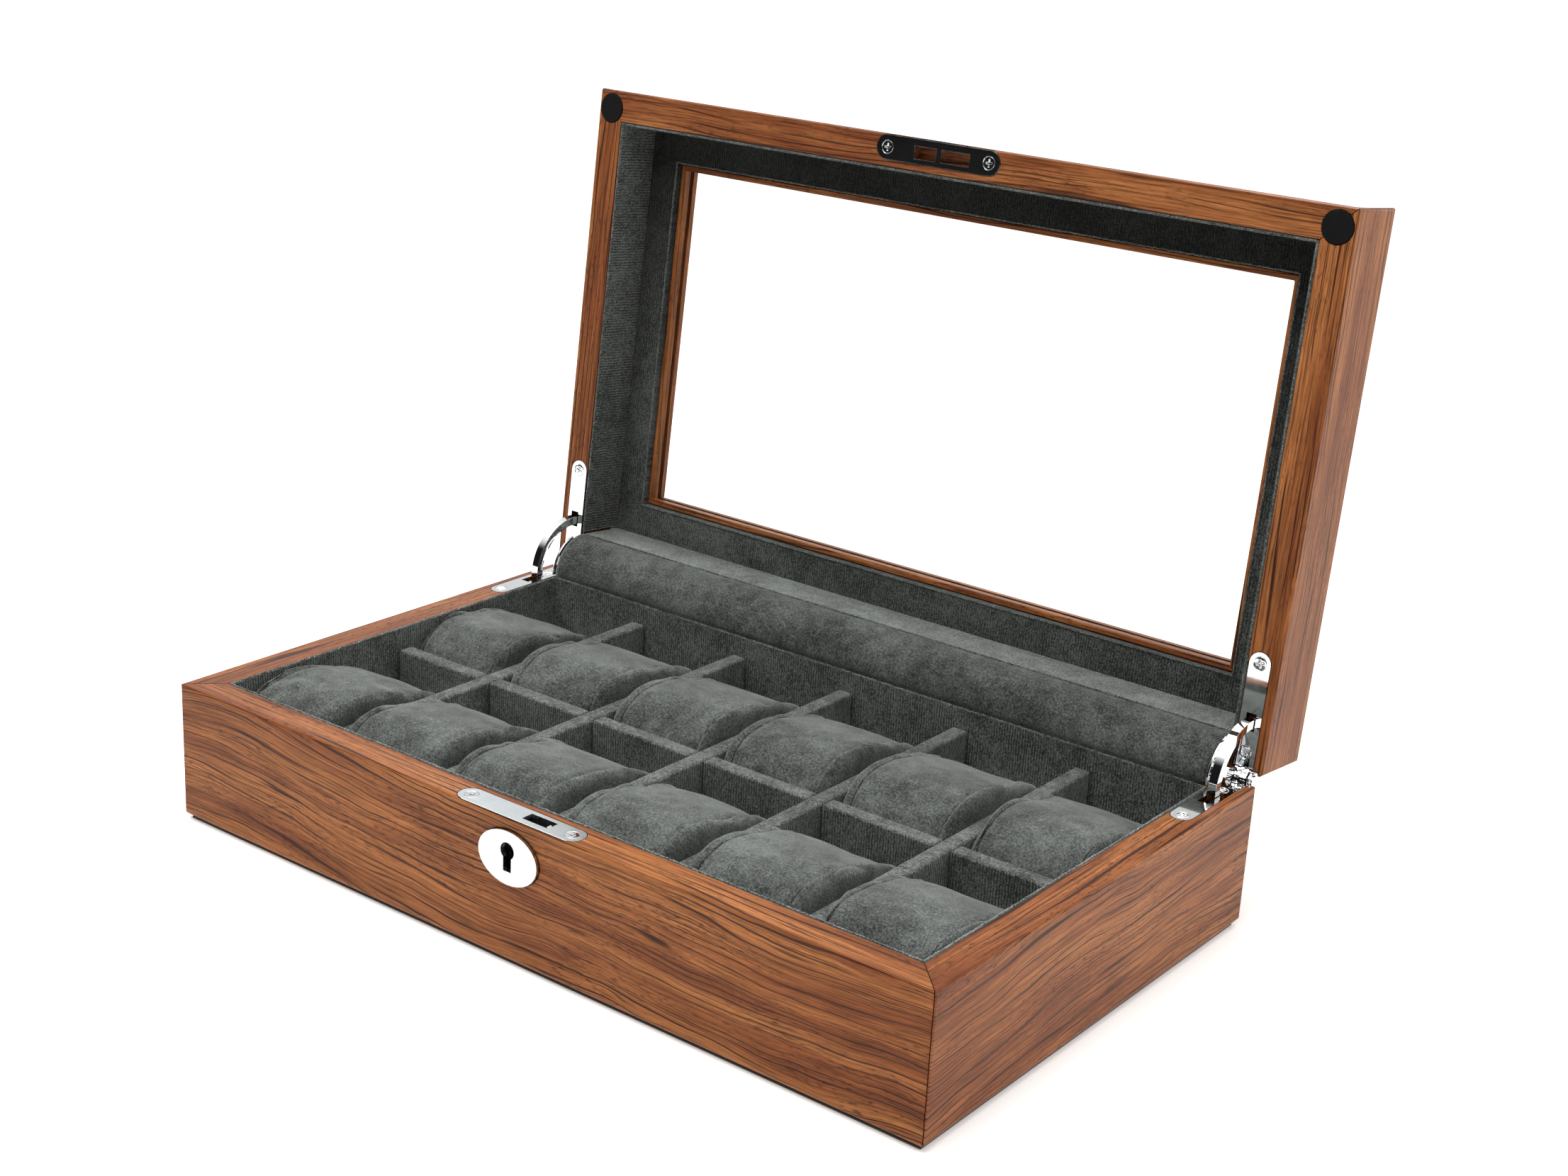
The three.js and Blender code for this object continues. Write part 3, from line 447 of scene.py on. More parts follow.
def dress(name, material, bevel=0.0, segments=2):
    """Gives a CAD node its material and, with a bevel in mm, soft edges and smooth shading, all by
    modifiers. A ring-shaped node has no bevel, because its large faces would fold over."""
    piece = nodes[name]
    mesh = piece.data
    mesh.materials.clear()
    mesh.materials.append(material)
    if "custom_normal" in mesh.attributes:
        mesh.attributes.remove(mesh.attributes["custom_normal"])
    mesh.polygons.foreach_set("use_smooth", [bevel > 0] * len(mesh.polygons))
    piece.modifiers.new("weld", "WELD").merge_threshold = 0.002 * MM
    if not bevel:
        return
    flat = piece.modifiers.new("flat", "DECIMATE")
    flat.decimate_type = "DISSOLVE"
    flat.angle_limit = math.radians(0.3)
    round_edges(piece, bevel, segments).miter_outer = "MITER_ARC"
    normals = piece.modifiers.new("normals", "WEIGHTED_NORMAL")
    normals.keep_sharp = True
    normals.weight = NORMAL_WEIGHT


def dress_wood():
    low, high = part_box("keyhole_escutcheon")
    base = {"front": dict(along="x", seed=2.3, lean=9.0, keyhole=(low + high) / 2),
            "back": dict(along="x", seed=31.0, lean=6.0),
            "left": dict(along="y", seed=52.0),
            "right": dict(along="y", seed=71.0, lean=-8.0)}
    for side, looks in base.items():
        dress(f"base_{side}_wall", wood(f"veneer_base_{side}", **looks), WOOD_EDGE)
    lid = {"front": dict(along="x", seed=93.0, lacquer=0.8),
           "right": dict(along="y", seed=117.0),
           "back": dict(along="x", seed=135.0),
           "left": dict(along="y", seed=151.0)}
    for side, looks in lid.items():
        dress(f"lid_{side}_rail", wood(f"veneer_lid_{side}", lid=True, **looks), WOOD_EDGE)
    dress("bottom_panel", board(), 0.2)


def dress_cloth():
    ribbed = velvet("velvet_ribbed", 1.22, 0.9)
    # Painted light: the lid lining's back face, which faces up with the lid open, is made up to 1.9
    # times lighter.
    lid_painted_light = ((LINING_BACK - 1.8, 1.0), (LINING_BACK - 0.3, 1.9))
    lid_ribbed = velvet("velvet_lid_ribbed", 1.02, 1.2, lid=True, seed=40, painted_light_ramp=lid_painted_light)
    # Painted shade and light: the board is darkened towards the lid's front edge, its top with the
    # lid open, where the front rail shades it, and lightened towards the hinge. Its low tone
    # darkens the whole board.
    board_painted_shade_and_light = ((-90.0, 0.35), (80.0, 1.6))
    plush = velvet("velvet_board", 0.50, 0.6, lid=True, seed=80, flat_ribs=True, painted_light_ramp=board_painted_shade_and_light)
    dress("cross_divider", ribbed, 1.0, 3)
    for i in range(1, 6):
        dress(f"long_divider_{i}", ribbed, 1.0, 3)
    dress("base_wall_lining", ribbed)
    dress("floor_lining", velvet("velvet_floor", 0.8, seed=20), 0.3)
    dress("lid_wall_lining", lid_ribbed)
    dress("lid_velvet_board", plush)
    dress("underside_felt", felt(), 0.2)


def dress_metal(chrome):
    black_rubber = rubber()
    dress("lock_face_plate", metal("satin_chrome", (0.70, 0.75, 0.76), 0.20, 0.10), 0.3, 3)
    escutcheon = metal("satin_escutcheon", (0.60, 0.615, 0.60), 0.16, 0.08)
    dress("keyhole_escutcheon", escutcheon, 0.6, 3)
    dress("strike_plate", chrome, 0.75, 4)
    for side in ["left", "right"]:
        dress(f"{side}_base_leaf", chrome, 0.35, 3)
        dress(f"{side}_lid_leaf", chrome, 0.35, 3)
        dress(f"{side}_hinge_pin", chrome, 0.2)
        dress(f"{side}_stay_arm", chrome, 0.55, 3)
        dress(f"{side}_end_plate", chrome, 0.15)
        dress(f"lock_plate_screw_{side}", chrome, 0.08)
        dress(f"strike_plate_screw_{side}", chrome, 0.08)
        dress(f"{side}_bumper", black_rubber, 0.35, 3)
    dress("lock_hook", metal("bright_hook", (0.93, 0.93, 0.92), 0.30, 0.10), 0.25)
    # The lock case and key post are near black: painted shade seen through the keyhole.
    steel = painted_shade_steel()
    dress("lock_case", steel, 0.15)
    dress("key_post", steel, 0.15)
    dress("glass_pane", glass(), 0.15)


# Making new pieces

def make_piece(name, points, faces, material):
    mesh = bpy.data.meshes.new(name)
    mesh.from_pydata([tuple(p) for p in points], [], faces)
    mesh.materials.append(material)
    mesh.polygons.foreach_set("use_smooth", [True] * len(mesh.polygons))
    mesh.update()
    fix = bmesh.new()
    fix.from_mesh(mesh)
    bmesh.ops.recalc_face_normals(fix, faces=fix.faces)
    fix.to_mesh(mesh)
    fix.free()
    piece = bpy.data.objects.new(name, mesh)
    bpy.context.scene.collection.objects.link(piece)
    return piece


def bridge(count, rings, closed=True):
    """Faces between rings of points, count in each, numbered ring after ring."""
    faces = []
    for ring in range(rings - 1):
        for i in range(count if closed else count - 1):
            j = (i + 1) % count
            a, b = ring * count, (ring + 1) * count
            faces.append((a + i, a + j, b + j, b + i))
    return faces


def disc_faces(rings, spokes):
    """Faces of a disc whose points are its middle and then each ring, from the inside out."""
    faces = []
    for k in range(spokes):
        j = (k + 1) % spokes
        faces.append((0, 1 + k, 1 + j))
        for ring in range(rings - 1):
            a, b = 1 + ring * spokes, 1 + (ring + 1) * spokes
            faces.append((a + k, b + k, b + j, a + j))
    return faces


def rectangle(half_x, low_y, high_y, z):
    return [(-half_x, low_y, z), (half_x, low_y, z), (half_x, high_y, z), (-half_x, high_y, z)]


def wobble(point, scale, seed=0.0):
    """Smooth seeded noise from -1 to 1 at a point, scale in metres."""
    return noise.noise(Vector(point) / scale + Vector((seed, seed * 0.7, -seed)))


# Glass bead

def glass_bead():
    """The bead round the glass as one mitred frame with rounded edges, in place of the CAD bead."""
    shut = shut_points("glass_bead")
    points = []
    for z in (min(p.z for p in shut), max(p.z for p in shut)):
        for pick in (max, min):
            half_x, half_y = (pick(abs(p[axis]) for p in shut) for axis in (0, 1))
            points += [TO_OPEN @ Vector(p) for p in rectangle(half_x, -half_y, half_y, z)]
    low_out, low_in, high_out, high_in = 0, 4, 8, 12  # each rectangle's first point
    sides = ((low_out, low_in), (high_out, high_in), (low_out, high_out), (low_in, high_in))
    faces = []
    for a, b in sides:
        faces += [(a + i, a + (i + 1) % 4, b + (i + 1) % 4, b + i) for i in range(4)]
    veneer = wood("veneer_bead", "frame", lid=True, seed=171.0)
    piece = make_piece("glass_bead_frame", points, faces, veneer)
    round_edges(piece, 0.5, 3)
    piece.modifiers.new("normals", "WEIGHTED_NORMAL").weight = NORMAL_WEIGHT
    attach(piece, "lid")
    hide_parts("glass_bead")


# Pillows

SEAM = 18.3 * MM  # from a pillow's middle to the seams between its band and its end panels
STATIONS = 84  # points round the profile
# The columns of points across the band, in mm from the pillow's middle
BAND_COLUMNS = [-17.6, -16.2, -14, -11, -8, -4.5, 0, 4.5, 8, 11, 14, 16.2, 17.6]
# How the end panel curls over past the seam: how far out from the pillow's middle, and how far in
# from the band's profile, in mm
END_PANEL = [(18.9, -0.45), (19.8, -0.85), (20.8, -0.55), (21.6, 0.4), (22.1, 2.0),
             (22.3, 4.3), (22.2, 7.5), (21.8, 11.5), (21.4, 16.0)]
PANEL_REACH = max(x for x, inset in END_PANEL)
LEFT_INSET, RIGHT_INSET, SEAM_INSET = 1.5, 0.5, 0.5  # mm in from the profile
BAND_INSET, BAND_CROWN = 0.55, 0.35  # mm in from the profile, and how much less in the middle
FAR_INSET = 18 * MM  # from here on, a profile is drawn in straight towards its middle
CAP_SHRINK = 0.55  # the size of the ring between an end panel's edge and its middle
CELL_GAP = 0.45 * MM  # between a swollen pillow and its cell's wall
HELD_HEIGHT = 1.2 * MM  # the cloth up to here rests on the floor, and doesn't swell
CLOTH_FRAMES = 20
BAND_SWELL, PANEL_SWELL = 0.3 * MM, 1.3 * MM  # the furthest that the pressure may move a point
RIGHT_CREASE, LEFT_CREASE = 1.3, 0.45  # how deep the seams are drawn in, in mm
CREASE_WIDTH, PUCKER_WIDTH = 0.5, 2.2  # mm to each side of a seam
PUCKERS = 46  # round the pillow
DENT_PLACE = (13 * MM, 14 * MM, 2 * MM)  # in from the pillow's left, front and top
DENT_RADIUS = 15 * MM


def pillow_reach(name):
    """How far a pillow may swell to each side of its middle."""
    low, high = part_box(name)
    middle = (low.x + high.x) / 2
    walls = [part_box(f"long_divider_{i}") for i in range(1, 6)]
    faces = [corner.x for wall in walls for corner in wall] + [-LINING_FACE, LINING_FACE]
    return min(abs(x - middle) for x in faces) - CELL_GAP


def smooth_loop(corners, steps=6):
    """A closed curve through the corners, with extra points between them."""
    count = len(corners)
    smooth = []
    for i in range(count):
        a, b, c, d = (Vector(corners[(i + k) % count]) for k in (-1, 0, 1, 2))
        for step in range(steps):
            t = step / steps
            smooth.append(0.5 * (2 * b + (c - a) * t + (2 * a - 5 * b + 4 * c - d) * t * t
                                 + (3 * b - a - 3 * c + d) * t ** 3))
    return smooth


def evenly_spaced(loop, count):
    """Points at even distances along a closed curve."""
    lengths = [0.0]
    for i, p in enumerate(loop):
        lengths.append(lengths[-1] + (loop[(i + 1) % len(loop)] - p).length)
    even = []
    place = 0
    for i in range(count):
        target = lengths[-1] * i / count
        while lengths[place + 1] < target:
            place += 1
        part = (target - lengths[place]) / (lengths[place + 1] - lengths[place])
        even.append(loop[place].lerp(loop[(place + 1) % len(loop)], part))
    return even


def pillow_profile(name):
    """The side view of a CAD pillow, as evenly spaced (y, z) points of a closed curve. It comes
    from the vertices where the chamfer at the CAD pillow's end meets its straight middle."""
    low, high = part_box(name)
    middle = (low + high) / 2
    corners = {(round(v.co.y, 6), round(v.co.z, 6)) for v in nodes[name].data.vertices
               if 1 * MM < high.x - v.co.x < 3 * MM}
    ring = sorted(corners, key=lambda p: math.atan2(p[1] - middle.z, p[0] - middle.y))
    return evenly_spaced(smooth_loop(ring), STATIONS)


def inset_profile(profile, distance):
    """The profile drawn in by a distance, square to itself when that is small, and more and more
    towards its middle as it grows."""
    middle = sum(profile, Vector((0, 0))) / len(profile)
    share = min(distance / FAR_INSET, 1)
    drawn = []
    for i, p in enumerate(profile):
        along = profile[(i + 1) % len(profile)] - profile[i - 1]
        inward = Vector((-along.y, along.x)).normalized()
        to_middle = middle - p
        if inward.dot(to_middle) < 0:
            inward = -inward
        drawn.append(p + inward * distance * (1 - share)
                     + to_middle.normalized() * distance * share)
    return drawn


def pillow_columns(name):
    """Where each column of points lies, left to right: (x from the middle, inset), in mm."""
    seam = SEAM / MM
    squeeze = (pillow_reach(name) - SEAM) / (PANEL_REACH * MM - SEAM)
    panel = [(seam + (x - seam) * squeeze, inset) for x, inset in END_PANEL]
    columns = [(-x, inset + LEFT_INSET) for x, inset in reversed(panel)]
    columns.append((-seam, SEAM_INSET))
    for x in BAND_COLUMNS:
        columns.append((x, BAND_INSET - BAND_CROWN * math.cos(x / seam * math.pi / 2)))
    columns.append((seam, SEAM_INSET))
    columns += [(x, inset + RIGHT_INSET) for x, inset in panel]
    return columns


def cap(points, faces, first):
    """Closes a pillow's end, from the ring of points that starts at first to its middle."""
    ring = points[first:first + STATIONS]
    centre = sum(ring, Vector()) / STATIONS
    inner = len(points)
    points += [centre.lerp(p, CAP_SHRINK) for p in ring]
    hub = len(points)
    points.append(centre)
    for i in range(STATIONS):
        j = (i + 1) % STATIONS
        faces.append((first + i, first + j, inner + j, inner + i))
        faces.append((inner + i, inner + j, hub))


def pillow_shape(name, material, seed):
    """A pillow before it is stuffed, a band round the profile sewn to two end panels, and the
    vertices that the stuffing doesn't move."""
    low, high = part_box(name)
    middle = (low.x + high.x) / 2
    profile = pillow_profile(name)
    columns = pillow_columns(name)
    points = []
    for x, inset in columns:
        points += [Vector((middle + x * MM, y, z)) for y, z in inset_profile(profile, inset * MM)]
    faces = bridge(STATIONS, len(columns))
    cap(points, faces, 0)
    cap(points, faces, STATIONS * (len(columns) - 1))
    seams = [len(END_PANEL), len(END_PANEL) + len(BAND_COLUMNS) + 1]
    held = []
    for column in range(len(columns)):
        for i in range(column * STATIONS, (column + 1) * STATIONS):
            if column in seams or points[i].z < low.z + HELD_HEIGHT:
                held.append(i)
    for p in points:
        sway = Vector((0, wobble(p, 22 * MM, seed), wobble(p, 19 * MM, seed + 5)))
        p += sway * 0.55 * MM
    return make_piece(name + "_cushion", points, faces, material), held


def add_cloth(piece, held):
    """Cloth on a pillow, under pressure, with some of its vertices held."""
    group = piece.vertex_groups.new(name="held")
    group.add(held, 1.0, "REPLACE")
    cloth = piece.modifiers.new("cloth", "CLOTH")
    settings = cloth.settings
    settings.quality = 6
    settings.mass = 0.2
    settings.tension_stiffness = 20
    settings.compression_stiffness = 20
    settings.shear_stiffness = 8
    settings.bending_stiffness = 0.4
    settings.use_pressure = True
    settings.uniform_pressure_force = 4
    settings.shrink_min = -0.035
    settings.vertex_group_mass = "held"
    settings.effector_weights.gravity = 0
    cloth.collision_settings.use_collision = False
    cloth.point_cache.frame_end = CLOTH_FRAMES


def stuff(cushions):
    """Runs every pillow's cloth at once: pressure swells it between the seams, which are held."""
    starts = {}
    for piece, held in cushions:
        starts[piece.name] = [v.co.copy() for v in piece.data.vertices]
        add_cloth(piece, held)
    for step in range(1, CLOTH_FRAMES + 1):
        bpy.context.scene.frame_set(step)
    graph = bpy.context.evaluated_depsgraph_get()
    for piece, _ in cushions:
        swollen = bpy.data.meshes.new_from_object(piece.evaluated_get(graph))
        piece.modifiers.clear()
        piece.data = swollen
        before = starts[piece.name]
        middle = sum(start.x for start in before) / len(before)
        for v, start in zip(swollen.vertices, before):
            move = v.co - start
            most = BAND_SWELL if abs(start.x - middle) < SEAM else PANEL_SWELL
            if move.length > most:
                v.co = start + move.normalized() * most
    bpy.context.scene.frame_set(1)


def surface_lift(p, middle, seed, dent):
    """How far a point of a pillow's surface moves out, in mm: seams drawn in, puckers beside them,
    uneven stuffing and, with a dent, a crumpled hollow."""
    from_seam = abs(abs(p.x - middle.x) - SEAM) / MM
    depth = RIGHT_CREASE if p.x > middle.x else LEFT_CREASE
    crease = -depth * math.exp(-(from_seam / CREASE_WIDTH) ** 2)
    around = math.atan2(p.z - middle.z, p.y - middle.y)
    gathers = math.sin(around * PUCKERS + 3 * wobble(p, 9 * MM, seed))
    pucker = gathers * wobble(p, 14 * MM, seed + 9)
    lift = crease + 0.50 * pucker * math.exp(-from_seam / PUCKER_WIDTH)
    lift += 0.55 * wobble(p, 15 * MM, seed + 2) + 0.22 * wobble(p, 5.5 * MM, seed + 4)
    if dent:
        near = math.exp(-((p - dent).length / DENT_RADIUS) ** 2)
        fold = abs(wobble(p, 11 * MM, seed + 31)) - 0.35
        lift += near * (4.6 * fold - 1.1)
    return lift


def finish_pillow(piece, name, seed, dent):
    """Gives the stuffed pillow its surface, keeps it inside its cell, and smooths it."""
    low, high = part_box(name)
    middle = (low + high) / 2
    reach = pillow_reach(name)
    front, back = low.y - 0.5 * MM, high.y + 0.6 * MM
    bottom, top = low.z + 0.1 * MM, high.z + 0.9 * MM
    mesh = piece.data
    mesh.update()
    moved = [v.co + v.normal * surface_lift(v.co, middle, seed, dent) * MM for v in mesh.vertices]
    for v, place in zip(mesh.vertices, moved):
        place.x = middle.x + max(-reach, min(reach, place.x - middle.x))
        place.y = max(front, min(back, place.y))
        place.z = max(bottom, min(top, place.z))
        v.co = place
    mesh.update()
    mesh.polygons.foreach_set("use_smooth", [True] * len(mesh.polygons))
    smooth = piece.modifiers.new("smooth", "SUBSURF")
    smooth.levels = 1
    smooth.render_levels = 1


def pillows():
    names = [f"{row}_pillow_{i}" for row in ("front", "back") for i in range(1, 7)]
    boxes = [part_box(name) for name in names[3:6]]  # those to the right of the middle
    middles = [(low.x + high.x) / 2 for low, high in boxes]
    seams = [(middle + side) / MM for middle in middles for side in (-SEAM, SEAM)]
    plush = velvet("velvet_plush", 1.12, seed=7, rough_nap=0.7, seams=seams)
    cushions = [pillow_shape(name, plush, 3.1 * i + 1) for i, name in enumerate(names)]
    stuff(cushions)
    for i, (name, (piece, _)) in enumerate(zip(names, cushions)):
        dent = None
        if name == "front_pillow_1":
            low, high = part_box(name)
            right, back, down = DENT_PLACE
            dent = Vector((low.x + right, low.y + back, high.z - down))
        finish_pillow(piece, name, 5.3 * i + 2, dent)
        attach(piece, name)
        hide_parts(name)


# Hinge cover

COVER_THICK = 1.1 * MM
COVER_START = math.radians(5.5)  # how far round the hinge the arc starts, and ends before the lid
COVER_STEPS = 40  # along the arc
COVER_COLUMNS = 150
TAB_DEPTHS = (7, 5, 3, 1)  # mm below the rim
TAB_NARROWER = 2.9 * MM  # at each end
TAB_BEHIND = 0.7 * MM  # behind the base lining's back face
COVER_PROUD = 1.4 * MM  # how far the arc comes in front of the back wall's inner face


def cover_path():
    """The cover's middle line, as points: a tab tucked behind the base lining, an arc about the
    hinge axis, and a tab tucked behind the lid lining. Also how many points each tab has."""
    radius = HINGE.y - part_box("base_back_wall")[0].y + COVER_PROUD - COVER_THICK / 2
    behind = LINING_HIGH.y + TAB_BEHIND
    tab = [Vector((0, behind, RIM - depth * MM)) for depth in TAB_DEPTHS]
    lid_tab = [TO_OPEN @ Vector((0, p.y, 2 * HINGE.z - p.z)) for p in reversed(tab)]
    arc = []
    for i in range(COVER_STEPS + 1):
        angle = COVER_START + (OPEN_ANGLE - 2 * COVER_START) * i / COVER_STEPS
        arc.append(HINGE + Vector((0, -math.cos(angle), math.sin(angle))) * radius)
    return tab + arc + lid_tab, len(tab)


def cover_points(path, tab, half):
    """The cover's two faces, column after column, each column following the path."""
    points = []
    for layer in (1, -1):
        for i in range(COVER_COLUMNS + 1):
            share = 2 * i / COVER_COLUMNS - 1
            for k, p in enumerate(path):
                inside = tab <= k < len(path) - tab
                x = share * (half if inside else half - TAB_NARROWER)
                before, after = path[max(k - 1, 0)], path[min(k + 1, len(path) - 1)]
                along = (after - before).normalized()
                out = Vector((0, -along.z, along.y))
                if out.dot(p - HINGE) < 0:
                    out = -out
                place = Vector((x, p.y, p.z))
                swell = 0.35 * wobble(place, 30 * MM, 3) + 0.22 * wobble(place, 9 * MM, 8)
                lift = swell * MM * math.sin(math.pi * k / (len(path) - 1)) if inside else 0
                points.append(place + out * (layer * COVER_THICK / 2 + lift))
    return points


def cover_faces(count):
    """The faces of a sheet with two sides, count points in each column, and its edges."""
    side = bridge(count, COVER_COLUMNS + 1, closed=False)
    other = count * (COVER_COLUMNS + 1)
    faces = side + [tuple(i + other for i in reversed(face)) for face in side]
    for i in range(COVER_COLUMNS):
        for k in (0, count - 1):
            a, b = i * count + k, (i + 1) * count + k
            faces.append((a, b, b + other, a + other))
    for k in range(count - 1):
        for i in (0, COVER_COLUMNS):
            a = i * count + k
            faces.append((a, a + 1, a + 1 + other, a + other))
    return faces


def hinge_cover():
    path, tab = cover_path()
    low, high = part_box("hinge_cover")
    half = (high.x - low.x) / 2
    cloth = velvet("velvet_cover", 0.95, seed=30, rough_nap=0.8)
    points = cover_points(path, tab, half)
    piece = make_piece("hinge_cover_velvet", points, cover_faces(len(path)), cloth)
    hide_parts("hinge_cover")
    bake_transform(piece)


# Hinge screws

HEAD_RADIUS = 2.4 * MM
HEAD_DOME = 0.16 * MM
HEAD_DEPTH = 1.5 * MM
HEAD_FOOT = 1.1 * MM  # the radius of the head's bottom
HEAD_RINGS, HEAD_SPOKES = 18, 72
CROSS_ARM, CROSS_WIDTH, CROSS_DEPTH = 1.35 * MM, 0.36 * MM, 0.85 * MM
RIM_DROP = 0.12 * MM
SCREW_SUNK = 0.15 * MM  # how far a head's rim is under the leaf's face
BASE_PITCH, LID_PITCH = 27.9 * MM, 31.9 * MM  # between a leaf's two screws


def head_height(a, b):
    """The height of a screw head's top at a point, with the cross recess along a and b."""
    across, along = sorted((abs(a), abs(b)))
    inside = max(across / CROSS_WIDTH, along / CROSS_ARM)
    recess = CROSS_DEPTH * max(0.0, min(1.0, (1.15 - inside) / 0.4))
    return HEAD_DOME * (1 - (a * a + b * b) / HEAD_RADIUS ** 2) - recess


def screw_head(name, centre, up, turn, material, body):
    """A countersunk head with a cross recess, turned by an angle."""
    spokes = [2 * math.pi * k / HEAD_SPOKES for k in range(HEAD_SPOKES)]
    points = [(0.0, 0.0, -CROSS_DEPTH)]
    for ring in range(1, HEAD_RINGS + 1):
        radius = HEAD_RADIUS * ring / HEAD_RINGS
        drop = RIM_DROP if ring == HEAD_RINGS else 0
        for spoke in spokes:
            height = head_height(radius * math.cos(spoke), radius * math.sin(spoke)) - drop
            angle = spoke + turn
            points.append((radius * math.cos(angle), radius * math.sin(angle), height))
    last = 1 + (HEAD_RINGS - 1) * HEAD_SPOKES
    foot = len(points)
    for spoke in spokes:
        angle = spoke + turn
        points.append((HEAD_FOOT * math.cos(angle), HEAD_FOOT * math.sin(angle), -HEAD_DEPTH))
    points.append((0, 0, -HEAD_DEPTH))
    faces = disc_faces(HEAD_RINGS, HEAD_SPOKES)
    for k in range(HEAD_SPOKES):
        j = (k + 1) % HEAD_SPOKES
        faces.append((last + k, foot + k, foot + j, last + j))
        faces.append((foot + k, len(points) - 1, foot + j))
    rotation = Vector((0, 0, 1)).rotation_difference(up).to_matrix()
    placed = [rotation @ Vector(p) + centre for p in points]
    piece = make_piece(name, placed, faces, material)
    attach(piece, body)


def hinge_screws(chrome):
    draw = random.Random(11)  # for how far each screw is turned
    up = Vector((0, 0, 1))
    down = (TO_OPEN.to_3x3() @ -up).normalized()
    for side in ("left", "right"):
        low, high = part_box(f"{side}_base_leaf")
        x = (low.x + high.x) / 2
        first = low.y + (high.x - low.x) / 2
        for i in (0, 1):
            place = Vector((x, first + i * BASE_PITCH, RIM - SCREW_SUNK))
            name = f"{side}_base_leaf_screw_{i + 1}"
            screw_head(name, place, up, draw.uniform(0, 1.5), chrome, "base")
        for i in (0, 1):
            place = TO_OPEN @ Vector((x, first + i * LID_PITCH, LID_RIM + SCREW_SUNK))
            name = f"{side}_lid_leaf_screw_{i + 1}"
            screw_head(name, place, down, draw.uniform(0, 1.5), chrome, "lid")


# Fuzzy edges of the velvet

NAP_STEP = 0.7 * MM
NAP_WIDTH = 0.7 * MM
NAP_INSET = 0.55 * MM  # from the linings' outer faces
# The strip's cross-section: the share of its width to the side, and of its height up
NAP_SECTION = [(-0.5, 0.0), (-0.42, 0.7), (0.0, 1.0), (0.42, 0.7), (0.5, 0.0), (0.0, -0.5)]


def fringe(name, corners, body, material, height=0.45, seed=0):
    """A closed strip of ragged nap along a rectangle's corners, its height in mm. The lid's corners
    are given with the lid shut, where its nap points down."""
    lid = body == "lid"
    path = []
    for a, b in zip(corners, corners[1:] + corners[:1]):
        a, b = Vector(a), Vector(b)
        steps = max(2, round((b - a).length / NAP_STEP))
        path += [a.lerp(b, i / steps) for i in range(steps)]
    count = len(path)
    up = Vector((0, 0, -1 if lid else 1))
    draw = random.Random(seed)
    points = []
    for i, p in enumerate(path):
        along = (path[(i + 1) % count] - path[i - 1]).normalized()
        side = along.cross(up)
        wide = NAP_WIDTH * draw.uniform(0.8, 1.2)
        tall = height * MM * draw.uniform(0.6, 1.4)
        shift = draw.uniform(-0.12, 0.12) * MM
        for across, rise in NAP_SECTION:
            place = p + side * (across * wide + shift) + up * rise * tall
            points.append(TO_OPEN @ place if lid else place)
    sides = len(NAP_SECTION)
    faces = bridge(sides, count)
    last = (count - 1) * sides
    faces += [(last + i, last + (i + 1) % sides, (i + 1) % sides, i) for i in range(sides)]
    piece = make_piece(name, points, faces, material)
    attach(piece, body)


def fringes():
    nap = velvet("velvet_nap", 1.9, seed=60)
    rim = rectangle(LINING_HIGH.x - NAP_INSET, LINING_LOW.y + NAP_INSET,
                    LINING_HIGH.y - NAP_INSET, LINING_HIGH.z)
    fringe("base_lining_nap", rim, "base", nap, seed=1)

    lid_nap = velvet("velvet_lid_nap", 1.15, lid=True, seed=90)
    lining = shut_points("lid_wall_lining")
    half_x, half_y = (max(p[axis] for p in lining) - NAP_INSET for axis in (0, 1))
    lid_rim = rectangle(half_x, -half_y, half_y, min(p.z for p in lining))
    fringe("lid_lining_nap", lid_rim, "lid", lid_nap, height=0.25, seed=2)

    board_face = shut_points("lid_velvet_board")
    half_x, half_y = (min(abs(p[axis]) for p in board_face) + 0.45 * MM for axis in (0, 1))
    window = rectangle(half_x, -half_y, half_y, min(p.z for p in board_face))
    fringe("lid_board_nap", window, "lid", lid_nap, height=0.3, seed=3)


# Studio

TABLE_RADIUS, TABLE_RINGS, TABLE_SPOKES = 4.0, 24, 96
AIM = (0, 0, 0.05)  # what the lamps point at
CAMERA_PLACE = (0.4757, -0.5933, 0.3728)
CAMERA_ANGLES = (36.85, 19.15, 3.055)  # degrees round to the right of the front, down, and tilted
CAMERA_LENS = 53.66  # mm, for a 36 mm frame


def floor():
    points = [(0, 0, 0)]
    for ring in range(1, TABLE_RINGS + 1):
        radius = TABLE_RADIUS * (ring / TABLE_RINGS) ** 2
        for k in range(TABLE_SPOKES):
            angle = 2 * math.pi * k / TABLE_SPOKES
            points.append((radius * math.cos(angle), radius * math.sin(angle), 0))
    s = Shader("pale_table")
    tone = s.noise(s.place(), 1 / 400.0)
    colour = s.ramp(tone, (0.3, (0.90, 0.895, 0.875)), (0.7, (0.92, 0.915, 0.90)))
    s.set(base_color=colour, roughness=0.9, specular_ior_level=0.2)
    s.set(emission_color=(1.0, 0.99, 0.97, 1), emission_strength=0.25)
    faces = disc_faces(TABLE_RINGS, TABLE_SPOKES)
    make_piece("table", points, faces, s.material)


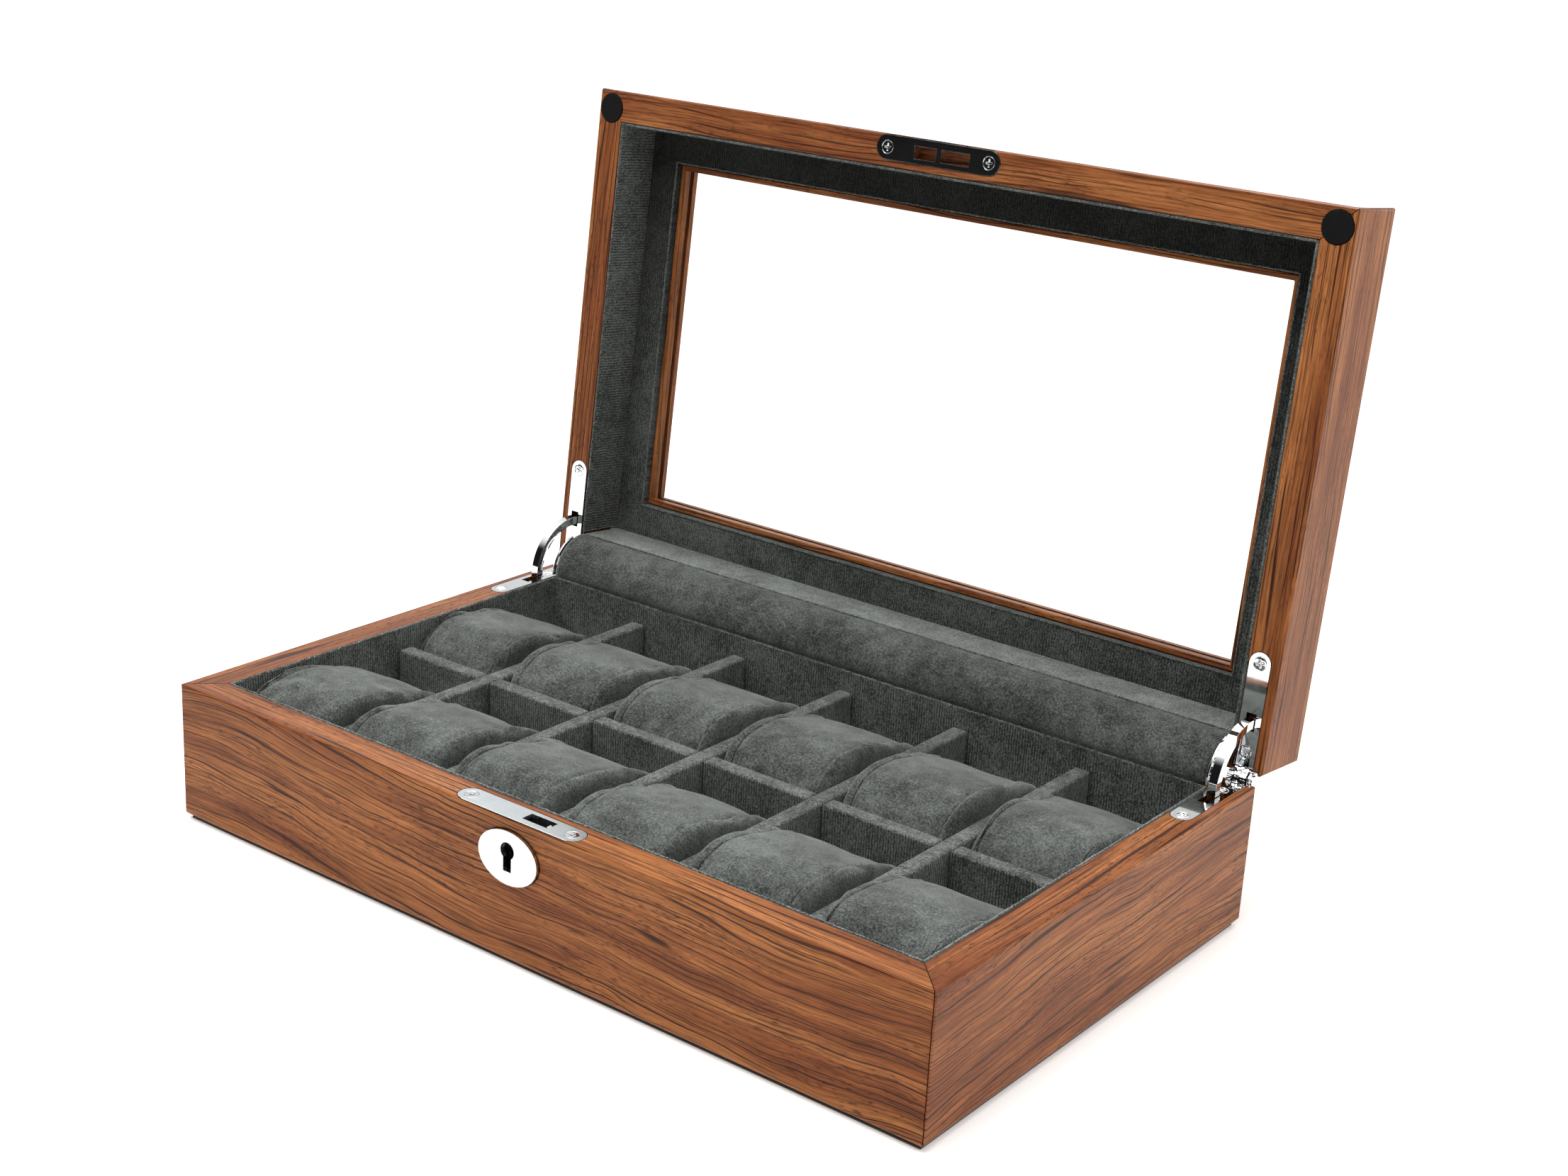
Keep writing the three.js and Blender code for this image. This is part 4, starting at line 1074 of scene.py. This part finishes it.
def sky():
    """Soft light from above, a bright band behind, and a dark room in front, low down. The camera
    never sees the dark room itself, only what it does to the light and the reflections."""
    world = bpy.data.worlds.new("studio")
    bpy.context.scene.world = world
    world.use_nodes = True
    s = NodeTree(world.node_tree)
    _, y, z = s.split(s.add("TexCoord", {}).outputs["Generated"])
    above = s.range(z, 0.35, 0.8, 0.75, 1.3)
    behind = s.times(s.range(y, -0.1, 0.5), s.range(z, 0.12, 0.36, 1.0, 0.0))
    in_front = s.times(s.range(y, -0.6, -0.15, 1.0, 0.0), s.range(z, 0.5, 0.8, 1.0, 0.0))
    light = s.plus(above, s.times(behind, 1.6))
    light = s.times(light, s.minus(1.0, s.times(in_front, 0.985)))
    below = s.range(z, -0.02, 0.0, 1.3, 0.0)
    light = s.math("MAXIMUM", light, below)
    backdrop = s.times(s.add("LightPath", {}).outputs["Is Camera Ray"], 1.3)
    light = s.math("MAXIMUM", light, backdrop)
    background = s.tree.nodes["Background"]
    s.feed(background.inputs["Color"], s.vector(light, light, light))
    s.feed(background.inputs["Strength"], 1.0)


def area_light(name, place, size, watts):
    data = bpy.data.lights.new(name, "AREA")
    data.shape = "RECTANGLE"
    data.size, data.size_y = size
    data.energy = watts
    lamp = bpy.data.objects.new(name, data)
    bpy.context.scene.collection.objects.link(lamp)
    lamp.location = place
    lamp.rotation_euler = (Vector(AIM) - Vector(place)).to_track_quat("-Z", "Y").to_euler()


def lights():
    sky()
    area_light("overhead", (-0.15, 0.1, 1.3), (1.3, 1.0), 12)
    area_light("front_top", (-0.1, -0.55, 1.15), (0.7, 0.5), 5)


def camera():
    """The photograph's viewpoint: from the right of the front, looking down."""
    azimuth, elevation, roll = (math.radians(degrees) for degrees in CAMERA_ANGLES)
    flat = math.cos(elevation)
    forward = Vector((-math.sin(azimuth) * flat, math.cos(azimuth) * flat, -math.sin(elevation)))
    level = forward.cross(Vector((0, 0, 1))).normalized()
    upright = level.cross(forward)
    right = level * math.cos(roll) + upright * math.sin(roll)
    up = upright * math.cos(roll) - level * math.sin(roll)
    data = bpy.data.cameras.new("photo_camera")
    data.sensor_width = 36
    data.lens = CAMERA_LENS
    data.clip_start = 0.01
    eye = bpy.data.objects.new("photo_camera", data)
    bpy.context.scene.collection.objects.link(eye)
    turn = Matrix((right, up, -forward)).transposed().to_4x4()
    eye.matrix_world = Matrix.Translation(CAMERA_PLACE) @ turn
    bpy.context.scene.camera = eye
    bpy.context.scene.view_settings.view_transform = "Standard"


camera()
lights()
floor()
plating = metal("chrome", (0.80, 0.81, 0.82), 0.02, 0.03)
dress_wood()
dress_cloth()
dress_metal(plating)
glass_bead()
pillows()
hinge_cover()
hinge_screws(plating)
fringes()
